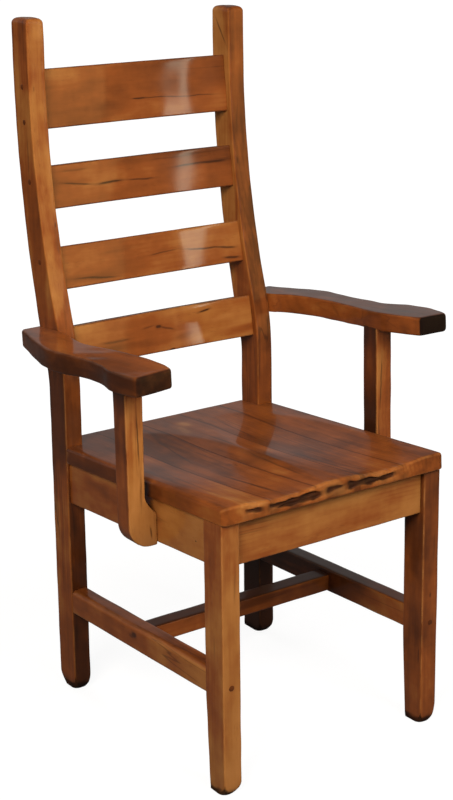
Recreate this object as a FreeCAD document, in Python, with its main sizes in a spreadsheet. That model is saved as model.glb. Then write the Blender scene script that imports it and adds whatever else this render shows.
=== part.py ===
# Rustic ladder-back dining armchair in stained maple, built as separate joined pieces.
# Frame: millimetres, +Z up, the chair faces -Y, origin on the floor under the middle of its bounding box.
import FreeCAD, Part
import math
import os
import re

import Sketcher
from FreeCAD import Placement, Rotation, Vector

# Driving dimensions, in millimetres and degrees
SIZES = {
    # Legs and posts
    "frame_width": 416,
    "frame_depth": 484,
    "leg_width": 32,
    "leg_depth": 46,
    "foot_taper": 9,
    "foot_taper_height": 150,
    "foot_round": 8,
    "post_width": 31,
    "post_depth": 50,
    # Sweep of the back posts
    "back_height": 1111,
    "back_rake": 75,
    "bend_above_seat": 63,
    "bend_below_top": 81,
    "bend_radius": 400,
    "heel_radius": 120,
    "post_top_round": 9,
    # Slats
    "slat_thickness": 20,
    "slat_height": 69,
    "top_slat_height": 94.5,
    "slat_bow": 10,
    "slat_setback": 10,
    "slat_housing": 14,
    "top_slat_lean": 4,
    "top_slat_drop": 81,
    "lower_slat_above_seat": 98,
    # Seat
    "seat_height": 457,
    "seat_tilt": 3.3,
    "seat_thickness": 27,
    "seat_overhang": 6,
    "seat_side_overhang": 1,
    "seat_edge_round": 7,
    "scoop_depth": 9,
    "scoop_width": 190,
    "scoop_length": 580,
    "scoop_middle": 196,
    # Rails under the seat
    "apron_height": 70,
    "apron_thickness": 22,
    "front_apron_inset": 9,
    "side_apron_inset": 5,
    "apron_shoulder": 8,
    "apron_tenon": 12,
    "tenon_length": 14,
    "block_thickness": 20,
    "block_reach": 55,
    "block_lip": 20,
    # Stretchers
    "stretcher_top": 194,
    "stretcher_drop": 12.6,
    "stretcher_height": 39,
    "stretcher_thickness": 28,
    "stretcher_inset": 1,
    "stretcher_shoulder": 7,
    "stretcher_tenon": 14,
    "cross_place": 239,
    "cross_rise": 2,
    "cross_height": 28,
    "cross_thickness": 28,
    "cross_shoulder": 5,
    # Arms, widths measured out from the posts and places back from the arm's front
    "arm_above_seat": 190,
    "arm_tilt": 3.6,
    "arm_front": 82,
    "arm_length": 424,
    "arm_thickness": 29,
    "arm_edge_round": 5,
    "arm_tail_width": 40,
    "arm_tail_slant": 4,
    "arm_shoulder_width": 82,
    "arm_shoulder_place": 258,
    "arm_waist_width": 79,
    "arm_waist_place": 165,
    "arm_paddle_width": 96,
    "arm_paddle_place": 60,
    "arm_nose": 12,
    "arm_inner_nose": 28,
    "arm_inner_hollow": 16,
    "arm_inner_hollow_place": 100,
    "arm_inner_swell": 23,
    "arm_inner_swell_place": 213,
    "arm_rest_on_post": 54,
    # Arm supports
    "support_front": 174,
    "support_width": 32,
    "support_depth": 34,
    "support_gap": 15.5,
    "support_round": 36,
    "support_below_apron": 3.5,
    "support_socket": 8,
    "cove_above_apron": 4,
    # Fasteners
    "plug_diameter": 9,
    "plug_length": 6,
    "screw_head_diameter": 8,
    "screw_head_length": 3,
    "screw_diameter": 4,
    "slat_screw_length": 35,
    "stretcher_screw_length": 50,
    "support_screw_length": 40,
    "seat_screw_bite": 12,
    "slat_plug_below_top": 24,
    "slat_plug_above_bottom": 12,
    "slat_plug_depth": 12,
    "support_screw_spacing": 18,
    "dowel_diameter": 9,
    "dowel_in_post": 12,
    "dowel_in_arm": 18,
    "dowel_edge": 14,
    # Clearance between joined pieces
    "fit": 0.1,
}
SEAT_BOARDS = 5
SIDES = {"left": -1, "right": 1}
# How many times the size of what it cuts a tool is made, where it runs out into the open
THROUGH = 2
# Lengths nearer than this are taken as equal
NEAR = 1e-3
# Angles, in degrees, at which the round of an arm's edge is cut into flats
EDGE_TURNS = (0, 45, 90)

doc = FreeCAD.newDocument("DiningArmchair")
sheet = doc.addObject("Spreadsheet::Sheet", "Sizes")
for row, (alias, size) in enumerate(SIZES.items(), start=1):
    sheet.set("A%d" % row, str(size))
    sheet.setAlias("A%d" % row, alias)
doc.recompute()

blanks = {}
cutters = {}
ALIAS = re.compile(r"\b(%s)\b" % "|".join(SIZES))


# Expressions on the sheet

def on_sheet(expression):
    """The expression with each size's name pointing at its cell."""
    return ALIAS.sub(r"Sizes.\1", str(expression))


def number(expression):
    """What an expression on the sheet comes to."""
    value = sheet.evalExpression(on_sheet(expression))
    return float(getattr(value, "Value", value))


def bind(piece, name, expression):
    piece.setExpression(name, on_sheet(expression))


def place(piece, x, y, z, tilt=None):
    """Puts a piece at x, y, z, tipped back about the X axis by the tilt."""
    if tilt is not None:
        piece.Placement = Placement(Vector(), Rotation(Vector(-1, 0, 0), number(tilt)))
        bind(piece, "Placement.Rotation.Angle", tilt)
    for axis, expression in zip("xyz", (x, y, z)):
        bind(piece, "Placement.Base." + axis, expression)
    return piece


# Shared places: depths run back from the front face of the front legs

HALF = "(frame_width / 2)"
FORE = "(seat_overhang + (seat_thickness - seat_edge_round) * sin(seat_tilt))"
FRONT = "((%s - frame_depth - back_rake) / 2)" % FORE
POST_FRONT = "(frame_depth - post_depth)"
BEND_START = "(seat_height + bend_above_seat)"
BEND_END = "(back_height - bend_below_top)"
SWEEP = "(2 * atan(back_rake / (%s - %s)))" % (BEND_END, BEND_START)
POST_GAP = "(frame_width / 2 - post_width)"
LEG_GAP = "(frame_width / 2 - leg_width)"
APRON_FACE = "(frame_width / 2 - side_apron_inset)"
REAR_APRON = "(frame_depth - (post_depth + apron_thickness) / 2)"


def under_seat(depth):
    """Height of the rails' top edges, just under the tilted seat."""
    drop = "((%s) + seat_overhang) * tan(seat_tilt)" % depth
    return "(seat_height - seat_thickness / cos(seat_tilt) - %s - fit)" % drop


def stretcher_line(depth):
    """Height of the side stretchers' top edges."""
    slope = "stretcher_drop / (%s - leg_depth)" % POST_FRONT
    return "(stretcher_top - ((%s) - leg_depth) * %s)" % (depth, slope)


def post_lean(height):
    """How far the posts' front face lies behind its foot at a height."""
    sweep = math.radians(number(SWEEP))
    start, end, low = number(BEND_START), number(BEND_END), number("bend_radius")
    high = (end - start) / math.sin(sweep) - low
    if height <= start:
        return 0.0
    if height <= start + low * math.sin(sweep):
        return low - math.sqrt(low ** 2 - (height - start) ** 2)
    below = max(end - height, 0.0)
    return number("back_rake") - high + math.sqrt(high ** 2 - below ** 2)


def arm_top(depth):
    """Height of the arms' upper faces."""
    return number("seat_height + arm_above_seat - (%s - arm_front) * tan(arm_tilt)" % depth)


# Sketched and primitive solids

def outline(body, plane, corners, arcs):
    """A closed sketch through corners. arcs holds a side's radius and its centre's hand: 1 left, -1 right."""
    sketch = body.newObject("Sketcher::SketchObject", body.Name + "_sketch")
    origin = [feature for feature in body.Origin.OriginFeatures if feature.Role == plane][0]
    sketch.AttachmentSupport = (origin, "")
    sketch.MapMode = "FlatFace"
    points = [Vector(number(u), number(v), 0) for u, v in corners]
    ends = []
    for side, start in enumerate(points):
        finish = points[(side + 1) % len(points)]
        if side not in arcs:
            index = sketch.addGeometry(Part.LineSegment(start, finish), False)
            ends.append((index, 1, 2))
            continue
        radius, hand = number(arcs[side][0]), arcs[side][1]
        chord = finish - start
        left = Vector(-chord.y, chord.x, 0).normalize()
        centre = (start + finish) * 0.5 + left * hand * math.sqrt(radius ** 2 - (chord.Length / 2) ** 2)
        first, last = (start, finish) if hand > 0 else (finish, start)
        angles = [math.atan2(p.y - centre.y, p.x - centre.x) for p in (first, last)]
        circle = Part.Circle(centre, Vector(0, 0, 1), radius)
        index = sketch.addGeometry(Part.ArcOfCircle(circle, *angles), False)
        ends.append((index, 1, 2) if hand > 0 else (index, 2, 1))
        rule = sketch.addConstraint(Sketcher.Constraint("Radius", index, radius))
        bind(sketch, "Constraints[%d]" % rule, arcs[side][0])
    for side, (index, start_end, finish_end) in enumerate(ends):
        following = ends[(side + 1) % len(ends)]
        sketch.addConstraint(Sketcher.Constraint("Coincident", index, finish_end, following[0], following[1]))
        for kind, expression, value in zip(("DistanceX", "DistanceY"), corners[side], points[side]):
            rule = sketch.addConstraint(Sketcher.Constraint(kind, -1, 1, index, start_end, value))
            bind(sketch, "Constraints[%d]" % rule, expression)
    return sketch


def padded(name, plane, corners, length, arcs=None):
    """A body made by padding a closed outline: XY goes up, XZ to the front and YZ to the right."""
    body = doc.addObject("PartDesign::Body", name)
    sketch = outline(body, plane, corners, arcs or {})
    pad = body.newObject("PartDesign::Pad", name + "_pad")
    pad.Profile = sketch
    bind(pad, "Length", length)
    return body


def rounded(body, radius, chosen):
    """Rounds the edges of a body whose middle point passes a test."""
    doc.recompute()
    base = body.Tip
    names = ["Edge%d" % (i + 1) for i, edge in enumerate(base.Shape.Edges) if chosen(edge.CenterOfMass)]
    fillet = body.newObject("PartDesign::Fillet", body.Name + "_round")
    fillet.Base = (base, names)
    bind(fillet, "Radius", radius)
    return body


def box(name, length, width, height):
    solid = doc.addObject("Part::Box", name)
    bind(solid, "Length", length)
    bind(solid, "Width", width)
    bind(solid, "Height", height)
    return solid


def cylinder(name, diameter, length, base, direction):
    solid = doc.addObject("Part::Cylinder", name)
    bind(solid, "Radius", "(%s) / 2" % diameter)
    bind(solid, "Height", length)
    solid.Placement = Placement(base, Rotation(Vector(0, 0, 1), direction))
    return solid


def fused(name, *solids):
    joined = doc.addObject("Part::MultiFuse", name)
    joined.Shapes = list(solids)
    return joined


def cut_from(node, *tools):
    cutters.setdefault(node, []).extend(tools)


# Legs and posts

def front_leg(side, sign):
    node = "front_leg_" + side
    corners = [
        ("0", "0"),
        ("0", under_seat("0")),
        ("leg_depth", under_seat("leg_depth")),
        ("leg_depth", "foot_taper_height"),
        ("leg_depth - foot_taper", "0"),
    ]
    leg = padded(node + "_blank", "YZ_Plane", corners, "leg_width")
    rounded(leg, "foot_round", lambda middle: middle.z < NEAR)
    blanks[node] = place(leg, LEG_GAP if sign > 0 else "-" + HALF, FRONT, "0")


def rear_post(side, sign):
    node = "rear_post_" + side
    corners = [("0", "0"), ("0", BEND_START)]
    arcs = {}
    upper = "(%s - %s) / sin%s - %s"
    for offset, radius in (("0", "bend_radius"), ("post_depth", "heel_radius")):
        waist = (
            "%s + %s * (1 - cos%s)" % (offset, radius, SWEEP),
            "%s + %s * sin%s" % (BEND_START, radius, SWEEP),
        )
        large = upper % (BEND_END, BEND_START, SWEEP, radius)
        top = [("back_rake + " + offset, BEND_END), ("back_rake + " + offset, "back_height")]
        if offset == "0":
            arcs[1] = (radius, -1)
            arcs[2] = (large, 1)
            corners += [waist] + top
        else:
            arcs[6] = (large, -1)
            arcs[7] = (radius, 1)
            corners += top[::-1] + [waist, (offset, BEND_START), (offset, "0")]
    post = padded(node + "_blank", "YZ_Plane", corners, "post_width", arcs)
    height = number("back_height")
    rounded(post, "post_top_round", lambda middle: middle.z > height - NEAR)
    rounded(post, "foot_round", lambda middle: middle.z < NEAR)
    blanks[node] = place(post, POST_GAP if sign > 0 else "-" + HALF, FRONT + " + " + POST_FRONT, "0")


# Rails and stretchers

def sloping_bar(name, near, far, line, height, thickness, middle):
    """A bar along Y with plumb ends, whose top edge follows line(depth). middle is its centre in X."""
    corners = [
        (near, "%s - (%s)" % (line(near), height)),
        (near, line(near)),
        (far, line(far)),
        (far, "%s - (%s)" % (line(far), height)),
    ]
    bar = padded(name, "YZ_Plane", corners, thickness)
    return place(bar, "%s - (%s) / 2" % (middle, thickness), FRONT, "0")


def side_rail(node, line, height, thickness, shoulder, tenon, middle, *uprights):
    """A tenoned rail between a front leg and a rear post, and its mortises."""
    near, far = "leg_depth", POST_FRONT
    core = sloping_bar(node + "_core", near + " + fit", far + " - fit", line, height, thickness, middle)

    def tongue(name, spare):
        reach = "(tenon_length + %s)" % spare
        tall = "%s - 2 * %s + 2 * %s" % (height, shoulder, spare)
        wide = "%s + 2 * %s" % (tenon, spare)

        def edge(depth):
            return "(%s - %s + %s)" % (line(depth), shoulder, spare)

        return sloping_bar(name, near + " - " + reach, far + " + " + reach, edge, tall, wide, middle)

    blanks[node] = fused(node + "_blank", core, tongue(node + "_tenon", "0"))
    for upright in uprights:
        cut_from(upright, tongue(node + "_in_" + upright, "fit"))


def cross_apron(node, depth, gap, uprights):
    """A rail along X under the seat, its top edge bevelled to the seat, and its mortises."""
    back = "(%s + apron_thickness)" % depth
    bottom = "(%s - apron_height)" % under_seat(depth)
    corners = [(depth, bottom), (depth, under_seat(depth)), (back, under_seat(back)), (back, bottom)]
    core = padded(node + "_core", "YZ_Plane", corners, "2 * %s - 2 * fit" % gap)
    place(core, "-%s + fit" % gap, FRONT, "0")

    def tongue(name, spare):
        reach = "(%s + tenon_length + %s)" % (gap, spare)
        tall = "%s - %s - 2 * apron_shoulder + 2 * %s" % (under_seat(back), bottom, spare)
        solid = box(name, "2 * " + reach, "apron_tenon + 2 * %s" % spare, tall)
        y = "%s + %s + (apron_thickness - apron_tenon) / 2 - %s" % (FRONT, depth, spare)
        return place(solid, "-" + reach, y, "%s + apron_shoulder - %s" % (bottom, spare))

    blanks[node] = fused(node + "_blank", core, tongue(node + "_tenon", "0"))
    for upright in uprights:
        cut_from(upright, tongue(node + "_in_" + upright, "fit"))


def cross_stretcher():
    node = "cross_stretcher"
    gap = "(frame_width / 2 - stretcher_inset - stretcher_thickness)"
    rear = "(cross_place + cross_thickness)"
    bottom = "(%s - stretcher_height + cross_rise)" % stretcher_line("cross_place")
    core = box(node + "_core", "2 * %s - 2 * fit" % gap, "cross_thickness", "cross_height")
    place(core, "-%s + fit" % gap, FRONT + " + cross_place", bottom)

    def tongue(name, spare):
        reach = "(%s + tenon_length + %s)" % (gap, spare)
        wide = "stretcher_tenon + 2 * %s" % spare
        solid = box(name, "2 * " + reach, wide, "cross_height - 2 * cross_shoulder + 2 * %s" % spare)
        y = "%s + %s - (cross_thickness + stretcher_tenon) / 2 - %s" % (FRONT, rear, spare)
        return place(solid, "-" + reach, y, "%s + cross_shoulder - %s" % (bottom, spare))

    blanks[node] = fused(node + "_blank", core, tongue(node + "_tenon", "0"))
    for side in SIDES:
        cut_from(side + "_stretcher", tongue(node + "_in_" + side, "fit"))


# Slats

SLAT_RADIUS = "((%s ^ 2 + slat_bow ^ 2) / (2 * slat_bow))" % POST_GAP


def slat_heights():
    """Height of each slat's bottom edge, from the lowest up, with equal gaps between the slats."""
    low = number("seat_height + lower_slat_above_seat")
    high = number("back_height - top_slat_drop")
    names = ("lower_slat", "middle_slat", "upper_slat", "top_slat")
    pitch = (high - number("top_slat_height") - low) / (len(names) - 1)
    return {name: low + step * pitch for step, name in enumerate(names)}


def bowed_board(name, reach, spare, height):
    """A board bent in plan, hollow to the front, standing on its lower edge."""
    inner = "(%s - %s)" % (SLAT_RADIUS, spare)
    outer = "(%s + slat_thickness + %s)" % (SLAT_RADIUS, spare)
    centre = "slat_bow - %s" % SLAT_RADIUS
    front = "%s + sqrt(%s ^ 2 - %s ^ 2)" % (centre, inner, reach)
    rear = "%s + sqrt(%s ^ 2 - %s ^ 2)" % (centre, outer, reach)
    corners = [("-" + reach, front), (reach, front), (reach, rear), ("-" + reach, rear)]
    return padded(name, "XY_Plane", corners, height, {0: (inner, -1), 2: (outer, 1)})


def slat(node, bottom):
    height = "top_slat_height" if node == "top_slat" else "slat_height"
    top = bottom + number(height)
    lean = math.degrees(math.atan2(post_lean(top) - post_lean(bottom), top - bottom))
    if node == "top_slat":
        lean += number("top_slat_lean")
    depth = number("%s + %s + slat_setback" % (FRONT, POST_FRONT)) + post_lean(bottom)
    turn = Rotation(Vector(-1, 0, 0), lean)
    board = bowed_board(node + "_blank", "(%s + slat_housing)" % POST_GAP, "0", height)
    board.Placement = Placement(Vector(0, depth, bottom), turn)
    blanks[node] = board
    for side in SIDES:
        reach = "(%s + slat_housing + fit)" % POST_GAP
        housing = bowed_board(node + "_housing_" + side, reach, "fit", height + " + 2 * fit")
        lowered = Vector(0, depth, bottom) - turn.multVec(Vector(0, 0, number("fit")))
        housing.Placement = Placement(lowered, turn)
        cut_from("rear_post_" + side, housing)
    return Placement(Vector(0, depth, bottom), turn)


# Seat

def on_seat(piece, x, depth, height="0"):
    """Places a piece in the tilted seat's own frame: depth from its front edge, height from its top."""
    y = "%s - seat_overhang + (%s) * cos(seat_tilt) + (%s) * sin(seat_tilt)" % (FRONT, depth, height)
    z = "seat_height - (%s) * sin(seat_tilt) + (%s) * cos(seat_tilt)" % (depth, height)
    return place(piece, x, y, z, "seat_tilt")


def scoop(name, sign):
    """One dish of the seat: a large ring whose tube touches down into the boards."""
    long_radius = "((scoop_length / 2) ^ 2 / (2 * scoop_depth))"
    tube = "((scoop_width / 2) ^ 2 / (2 * scoop_depth))"
    ring = doc.addObject("Part::Torus", name)
    bind(ring, "Radius1", "%s - %s" % (long_radius, tube))
    bind(ring, "Radius2", tube)
    tilt = Rotation(Vector(-1, 0, 0), number("seat_tilt"))
    middle = Vector(0, number("scoop_middle"), number("%s - scoop_depth" % long_radius))
    front = number(FRONT + " - seat_overhang")
    corner = Vector(sign * number("scoop_width / 2"), front, number("seat_height"))
    ring.Placement = Placement(corner + tilt.multVec(middle), tilt.multiply(Rotation(Vector(0, 1, 0), 90)))
    return ring


def seat_board(index):
    node = "seat_board_%d" % (index + 1)
    whole = "(frame_width + 2 * seat_side_overhang)"
    width = "(%s / %d)" % (whole, SEAT_BOARDS)
    length = "((frame_depth + seat_overhang) / cos(seat_tilt))"
    corners = [("0", "0"), (width + " - fit", "0"), (width + " - fit", length), ("0", length)]
    board = padded(node + "_blank", "XY_Plane", corners, "seat_thickness")
    edge = number(width + " - fit")
    upper = number("seat_thickness")

    def outer(middle):
        level = middle.z < NEAR or middle.z > upper - NEAR
        side = (index == 0 and middle.x < NEAR) or (index == SEAT_BOARDS - 1 and middle.x > edge - NEAR)
        return level and (middle.y < NEAR or side)

    rounded(board, "seat_edge_round", outer)
    blanks[node] = on_seat(board, "-%s / 2 + %d * %s" % (whole, index, width), "0", "-seat_thickness")
    cut_from(node, *[scoop("%s_scoop_%s" % (node, side), sign) for side, sign in SIDES.items()])
    for side, sign in SIDES.items():
        if index == (0 if sign < 0 else SEAT_BOARDS - 1):
            spare = "(post_width + seat_side_overhang + seat_edge_round)"
            tall = "2 * %d * seat_thickness" % THROUGH
            notch = box(node + "_notch", spare, "%d * post_depth" % THROUGH, tall)
            x = "%s - fit" % POST_GAP if sign > 0 else "-%s + fit - %s" % (POST_GAP, spare)
            z = "%s - seat_thickness" % under_seat("frame_depth")
            cut_from(node, place(notch, x, "%s + %s - fit" % (FRONT, POST_FRONT), z))


def corner_block(end, side, sign):
    """A glue block in a corner of the seat frame, let in round the leg or post."""
    node = "corner_block_%s_%s" % (end, side)
    inner = "(frame_width / 2 - side_apron_inset - apron_thickness - fit)"
    if end == "front":
        gap, leg, rail, way = LEG_GAP, "leg_depth", "(front_apron_inset + apron_thickness)", "+"
        level = "(seat_thickness + block_thickness)"
    else:
        gap, leg, rail, way = POST_GAP, POST_FRONT, REAR_APRON, "-"
        level = "seat_thickness"
    shift = "%s fit + %s * sin(seat_tilt)" % (way, level)
    beside = "(%s %s)" % (leg, shift)
    against = "(%s %s)" % (rail, shift)
    flip = "" if sign > 0 else "-"
    plan = [
        (gap + " - fit", against),
        (gap + " - block_reach", against),
        (gap + " - block_reach", "%s %s block_lip" % (against, way)),
        (inner, "%s %s block_reach" % (beside, way)),
        (inner, beside),
        (gap + " - fit", beside),
    ]
    corners = [(flip + "(%s)" % x, "(%s + seat_overhang) / cos(seat_tilt)" % y) for x, y in plan]
    block = padded(node + "_blank", "XY_Plane", corners, "block_thickness")
    blanks[node] = on_seat(block, "0", "0", "-seat_thickness - block_thickness - fit")
    hole_x = "%s(%s - block_reach / 2)" % (flip, gap)
    hole_y = "(%s %s block_lip + seat_overhang) / cos(seat_tilt)" % (against, way)
    return node, hole_x, hole_y


# Arms and their supports

def arm_outline(sign, inset, depth):
    """The arm's outline at a depth under its top, its free edges drawn in by an inset."""
    edge = number(HALF)

    def spot(width, back, drawn_in=0.0, set_back=0.0):
        return Vector(sign * (edge + number(width) + drawn_in), number(back) + set_back, -depth)

    outer = [
        spot("arm_tail_width", "arm_length - arm_tail_slant", -inset),
        spot("arm_shoulder_width", "arm_shoulder_place", -inset),
        spot("arm_waist_width", "arm_waist_place", -inset),
        spot("arm_paddle_width", "arm_paddle_place", -inset),
        spot("arm_paddle_width", "arm_nose", -inset),
        spot("arm_paddle_width - arm_nose", "0", 0.0, inset),
    ]
    inner = [
        spot("arm_inner_nose", "0", inset, inset),
        spot("arm_inner_hollow", "arm_inner_hollow_place", inset),
        spot("arm_inner_swell", "arm_inner_swell_place", inset),
        spot("fit", "arm_length - arm_rest_on_post", 0.0, inset),
    ]
    heel = spot("fit", "arm_length")
    edges = []
    for run in (outer, inner):
        curve = Part.BSplineCurve()
        curve.interpolate(run)
        edges.append(curve.toShape())
    edges.insert(1, Part.makeLine(outer[-1], inner[0]))
    edges += [Part.makeLine(inner[-1], heel), Part.makeLine(heel, outer[0])]
    return Part.Wire(edges)


def arm(side, sign):
    """A hewn plank with wavy edges: the only piece whose outline is free curves."""
    node = side + "_arm"
    radius = number("arm_edge_round")
    upper = []
    for turn in EDGE_TURNS:
        angle = math.radians(turn)
        upper.append((radius * (1 - math.sin(angle)), radius * (1 - math.cos(angle))))
    lower = [(inset, number("arm_thickness") - depth) for inset, depth in reversed(upper)]
    piece = doc.addObject("Part::Feature", node + "_blank")
    piece.Shape = Part.makeLoft([arm_outline(sign, *step) for step in upper + lower], True, True)
    place(piece, "0", FRONT + " + arm_front", "seat_height + arm_above_seat", "arm_tilt")
    blanks[node] = piece


def arm_support(side, sign):
    node = side + "_arm_support"
    inside = "(frame_width / 2 + support_gap)"
    outside = "(%s + support_width)" % inside
    face = "(%s + fit)" % APRON_FACE
    cove = "(%s - %s)" % (inside, face)
    cove_top = "(%s + cove_above_apron)" % under_seat("support_front")
    bottom = "(%s - apron_height - support_below_apron)" % under_seat("support_front")
    middle = "(support_front + support_depth / 2)"
    drop = "(%s - arm_front) * tan(arm_tilt)" % middle
    top = "(seat_height + arm_above_seat - %s - arm_thickness + support_socket)" % drop
    plan = [
        (inside, top),
        (inside, cove_top),
        (face, "%s - %s" % (cove_top, cove)),
        (face, bottom),
        ("%s - support_round" % outside, bottom),
        (outside, "%s + support_round" % bottom),
        (outside, top),
    ]
    flip = "" if sign > 0 else "-"
    corners = [(flip + "(%s)" % x, z) for x, z in plan]
    arcs = {1: (cove, -sign), 4: ("support_round", sign)}
    post = padded(node + "_blank", "XZ_Plane", corners, "support_depth", arcs)
    blanks[node] = place(post, "0", FRONT + " + support_front + support_depth", "0")
    deep = "(%d * support_socket)" % THROUGH
    socket = box(node + "_socket", "support_width + 2 * fit", "support_depth + 2 * fit", deep)
    x = "%s - fit" % inside if sign > 0 else "-%s - fit" % outside
    cut_from(side + "_arm", place(socket, x, FRONT + " + support_front - fit", "%s + fit - %s" % (top, deep)))


# Fasteners, each kind one group of solids

groups = {}


def screw(group, mark, base, direction, length, woods, plugs=None):
    """A screw driven along a direction from a base point, under a plug where it has one, with its bores."""
    name = "%s_%s" % (group, mark)
    sunk = 0.0
    head_end = "screw_head_length"
    if plugs:
        sunk = number("plug_length")
        head_end = "plug_length + screw_head_length"
        plug = cylinder("%s_%s" % (plugs, mark), "plug_diameter", "plug_length", base, direction)
        groups.setdefault(plugs, []).append(plug)
        bore = cylinder(name + "_bore", "plug_diameter + 2 * fit", head_end, base, direction)
    else:
        bore = cylinder(name + "_bore", "screw_head_diameter + 2 * fit", head_end, base, direction)
    seat = base + direction * (sunk + number("fit"))
    head = cylinder(name + "_head", "screw_head_diameter", "screw_head_length - fit", seat, direction)
    under = base + direction * number(head_end)
    shank = cylinder(name + "_shank", "screw_diameter", length, under, direction)
    pilot = cylinder(name + "_pilot", "screw_diameter + 2 * fit", length + " + fit", under, direction)
    groups.setdefault(group, []).append(fused(name, head, shank))
    for wood in woods:
        cut_from(wood, bore, pilot)


def slat_fasteners(spots):
    """Screws through the posts into the slats' ends: two for the top slat, one for the two below it."""
    for node, where in spots.items():
        if node == "lower_slat":
            continue
        rises = [number("slat_height - slat_plug_below_top")]
        if node == "top_slat":
            rises = [number("top_slat_height - slat_plug_below_top"), number("slat_plug_above_bottom")]
        for turn, rise in enumerate(rises):
            for side, sign in SIDES.items():
                centre = where.multVec(Vector(0, number("slat_plug_depth"), rise))
                base = Vector(sign * number(HALF), centre.y, centre.z)
                mark = "%s_%s_%d" % (node, side, turn)
                inward = Vector(-sign, 0, 0)
                woods = ("rear_post_" + side, node)
                screw("slat_screws", mark, base, inward, "slat_screw_length", woods, "slat_plugs")


def stretcher_fasteners():
    """Plugged screws through the front legs and rear posts into the side stretchers' ends."""
    for side, sign in SIDES.items():
        x = sign * number("frame_width / 2 - stretcher_inset - stretcher_thickness / 2")
        ends = {
            "front": ("front_leg_", "0", "leg_depth", 1),
            "rear": ("rear_post_", "frame_depth", POST_FRONT, -1),
        }
        for end, (upright, face, meeting, way) in ends.items():
            z = number("%s - stretcher_height / 2" % stretcher_line(meeting))
            base = Vector(x, number("%s + %s" % (FRONT, face)), z)
            woods = (upright + side, side + "_stretcher")
            inward = Vector(0, way, 0)
            screw("stretcher_screws", "%s_%s" % (end, side), base, inward, "stretcher_screw_length", woods,
                  "stretcher_plugs")


def support_fasteners():
    """Screws from inside the side rails into the arm supports."""
    for side, sign in SIDES.items():
        top = number(under_seat("support_front"))
        y = number("%s + support_front + support_depth / 2" % FRONT)
        x = sign * number("%s - apron_thickness" % APRON_FACE)
        for step, way in enumerate((-1, 1)):
            base = Vector(x, y, top - number("apron_height / 2 + %d * support_screw_spacing / 2" % way))
            mark = "%s_%d" % (side, step)
            woods = (side + "_apron", side + "_arm_support")
            screw("support_screws", mark, base, Vector(sign, 0, 0), "support_screw_length", woods)


def seat_fasteners(blocks):
    """Screws up through the corner blocks into the seat boards."""
    tilt = Rotation(Vector(-1, 0, 0), number("seat_tilt"))
    up = tilt.multVec(Vector(0, 0, 1))
    corner = Vector(0, number(FRONT + " - seat_overhang"), number("seat_height"))
    whole = number("frame_width + 2 * seat_side_overhang")
    for node, hole_x, hole_y in blocks:
        low = number("-seat_thickness - block_thickness - fit")
        base = corner + tilt.multVec(Vector(number(hole_x), number(hole_y), low))
        index = min(int((number(hole_x) + whole / 2) / whole * SEAT_BOARDS), SEAT_BOARDS - 1)
        length = "block_thickness - screw_head_length + seat_screw_bite"
        screw("seat_screws", node, base, up, length, (node, "seat_board_%d" % (index + 1)))


def arm_dowels():
    """Dowels across the joint between each arm and its post."""
    level = arm_top(POST_FRONT) - number("arm_thickness / 2")
    face = number(POST_FRONT) + post_lean(level)
    length = "(dowel_in_post + dowel_in_arm)"
    for side, sign in SIDES.items():
        along = Vector(sign, 0, 0)
        for step, inset in enumerate(("dowel_edge", "post_depth - dowel_edge")):
            depth = face + number(inset)
            z = arm_top(depth) - number("arm_thickness / 2")
            base = Vector(sign * number("frame_width / 2 - dowel_in_post"), number(FRONT) + depth, z)
            name = "arm_dowels_%s_%d" % (side, step)
            groups.setdefault("arm_dowels", []).append(cylinder(name, "dowel_diameter", length, base, along))
            start = base - along * number("fit")
            hole = cylinder(name + "_hole", "dowel_diameter + 2 * fit", length + " + 2 * fit", start, along)
            cut_from("rear_post_" + side, hole)
            cut_from(side + "_arm", hole)


# Assembly

for side, sign in SIDES.items():
    front_leg(side, sign)
    rear_post(side, sign)
    uprights = ("front_leg_" + side, "rear_post_" + side)
    apron_middle = "(%d * (%s - apron_thickness / 2))" % (sign, APRON_FACE)
    side_rail(side + "_apron", under_seat, "apron_height", "apron_thickness", "apron_shoulder",
              "apron_tenon", apron_middle, *uprights)
    bar_middle = "(%d * (frame_width / 2 - stretcher_inset - stretcher_thickness / 2))" % sign
    side_rail(side + "_stretcher", stretcher_line, "stretcher_height", "stretcher_thickness",
              "stretcher_shoulder", "stretcher_tenon", bar_middle, *uprights)
cross_stretcher()
cross_apron("front_apron", "front_apron_inset", LEG_GAP, ["front_leg_" + side for side in SIDES])
cross_apron("rear_apron", REAR_APRON, POST_GAP, ["rear_post_" + side for side in SIDES])
slat_spots = {node: slat(node, bottom) for node, bottom in slat_heights().items()}
for index in range(SEAT_BOARDS):
    seat_board(index)
blocks = [corner_block(end, side, sign) for end in ("front", "rear") for side, sign in SIDES.items()]
for side, sign in SIDES.items():
    arm(side, sign)
    arm_support(side, sign)
slat_fasteners(slat_spots)
stretcher_fasteners()
support_fasteners()
seat_fasteners(blocks)
arm_dowels()

nodes = {}
for node, blank in blanks.items():
    nodes[node] = blank
    if node in cutters:
        nodes[node] = doc.addObject("Part::Cut", node)
        nodes[node].Base = blank
        tools = cutters[node]
        nodes[node].Tool = tools[0] if len(tools) == 1 else fused(node + "_cutters", *tools)
for node, solids in groups.items():
    nodes[node] = doc.addObject("Part::Compound", node)
    nodes[node].Links = solids
for node, piece in nodes.items():
    piece.Label = node
doc.recompute()

# Checks before anything is written
for piece in doc.Objects:
    if "Invalid" in piece.State or "Error" in piece.State:
        raise RuntimeError("%s did not build: %s" % (piece.Name, piece.State))
for node, piece in nodes.items():
    if piece.Shape.isNull() or not piece.Shape.isValid() or not piece.Shape.Solids:
        raise RuntimeError("%s has no valid solid" % node)
    if node not in groups and len(piece.Shape.Solids) != 1:
        raise RuntimeError("%s fell into %d solids" % (node, len(piece.Shape.Solids)))

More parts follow.
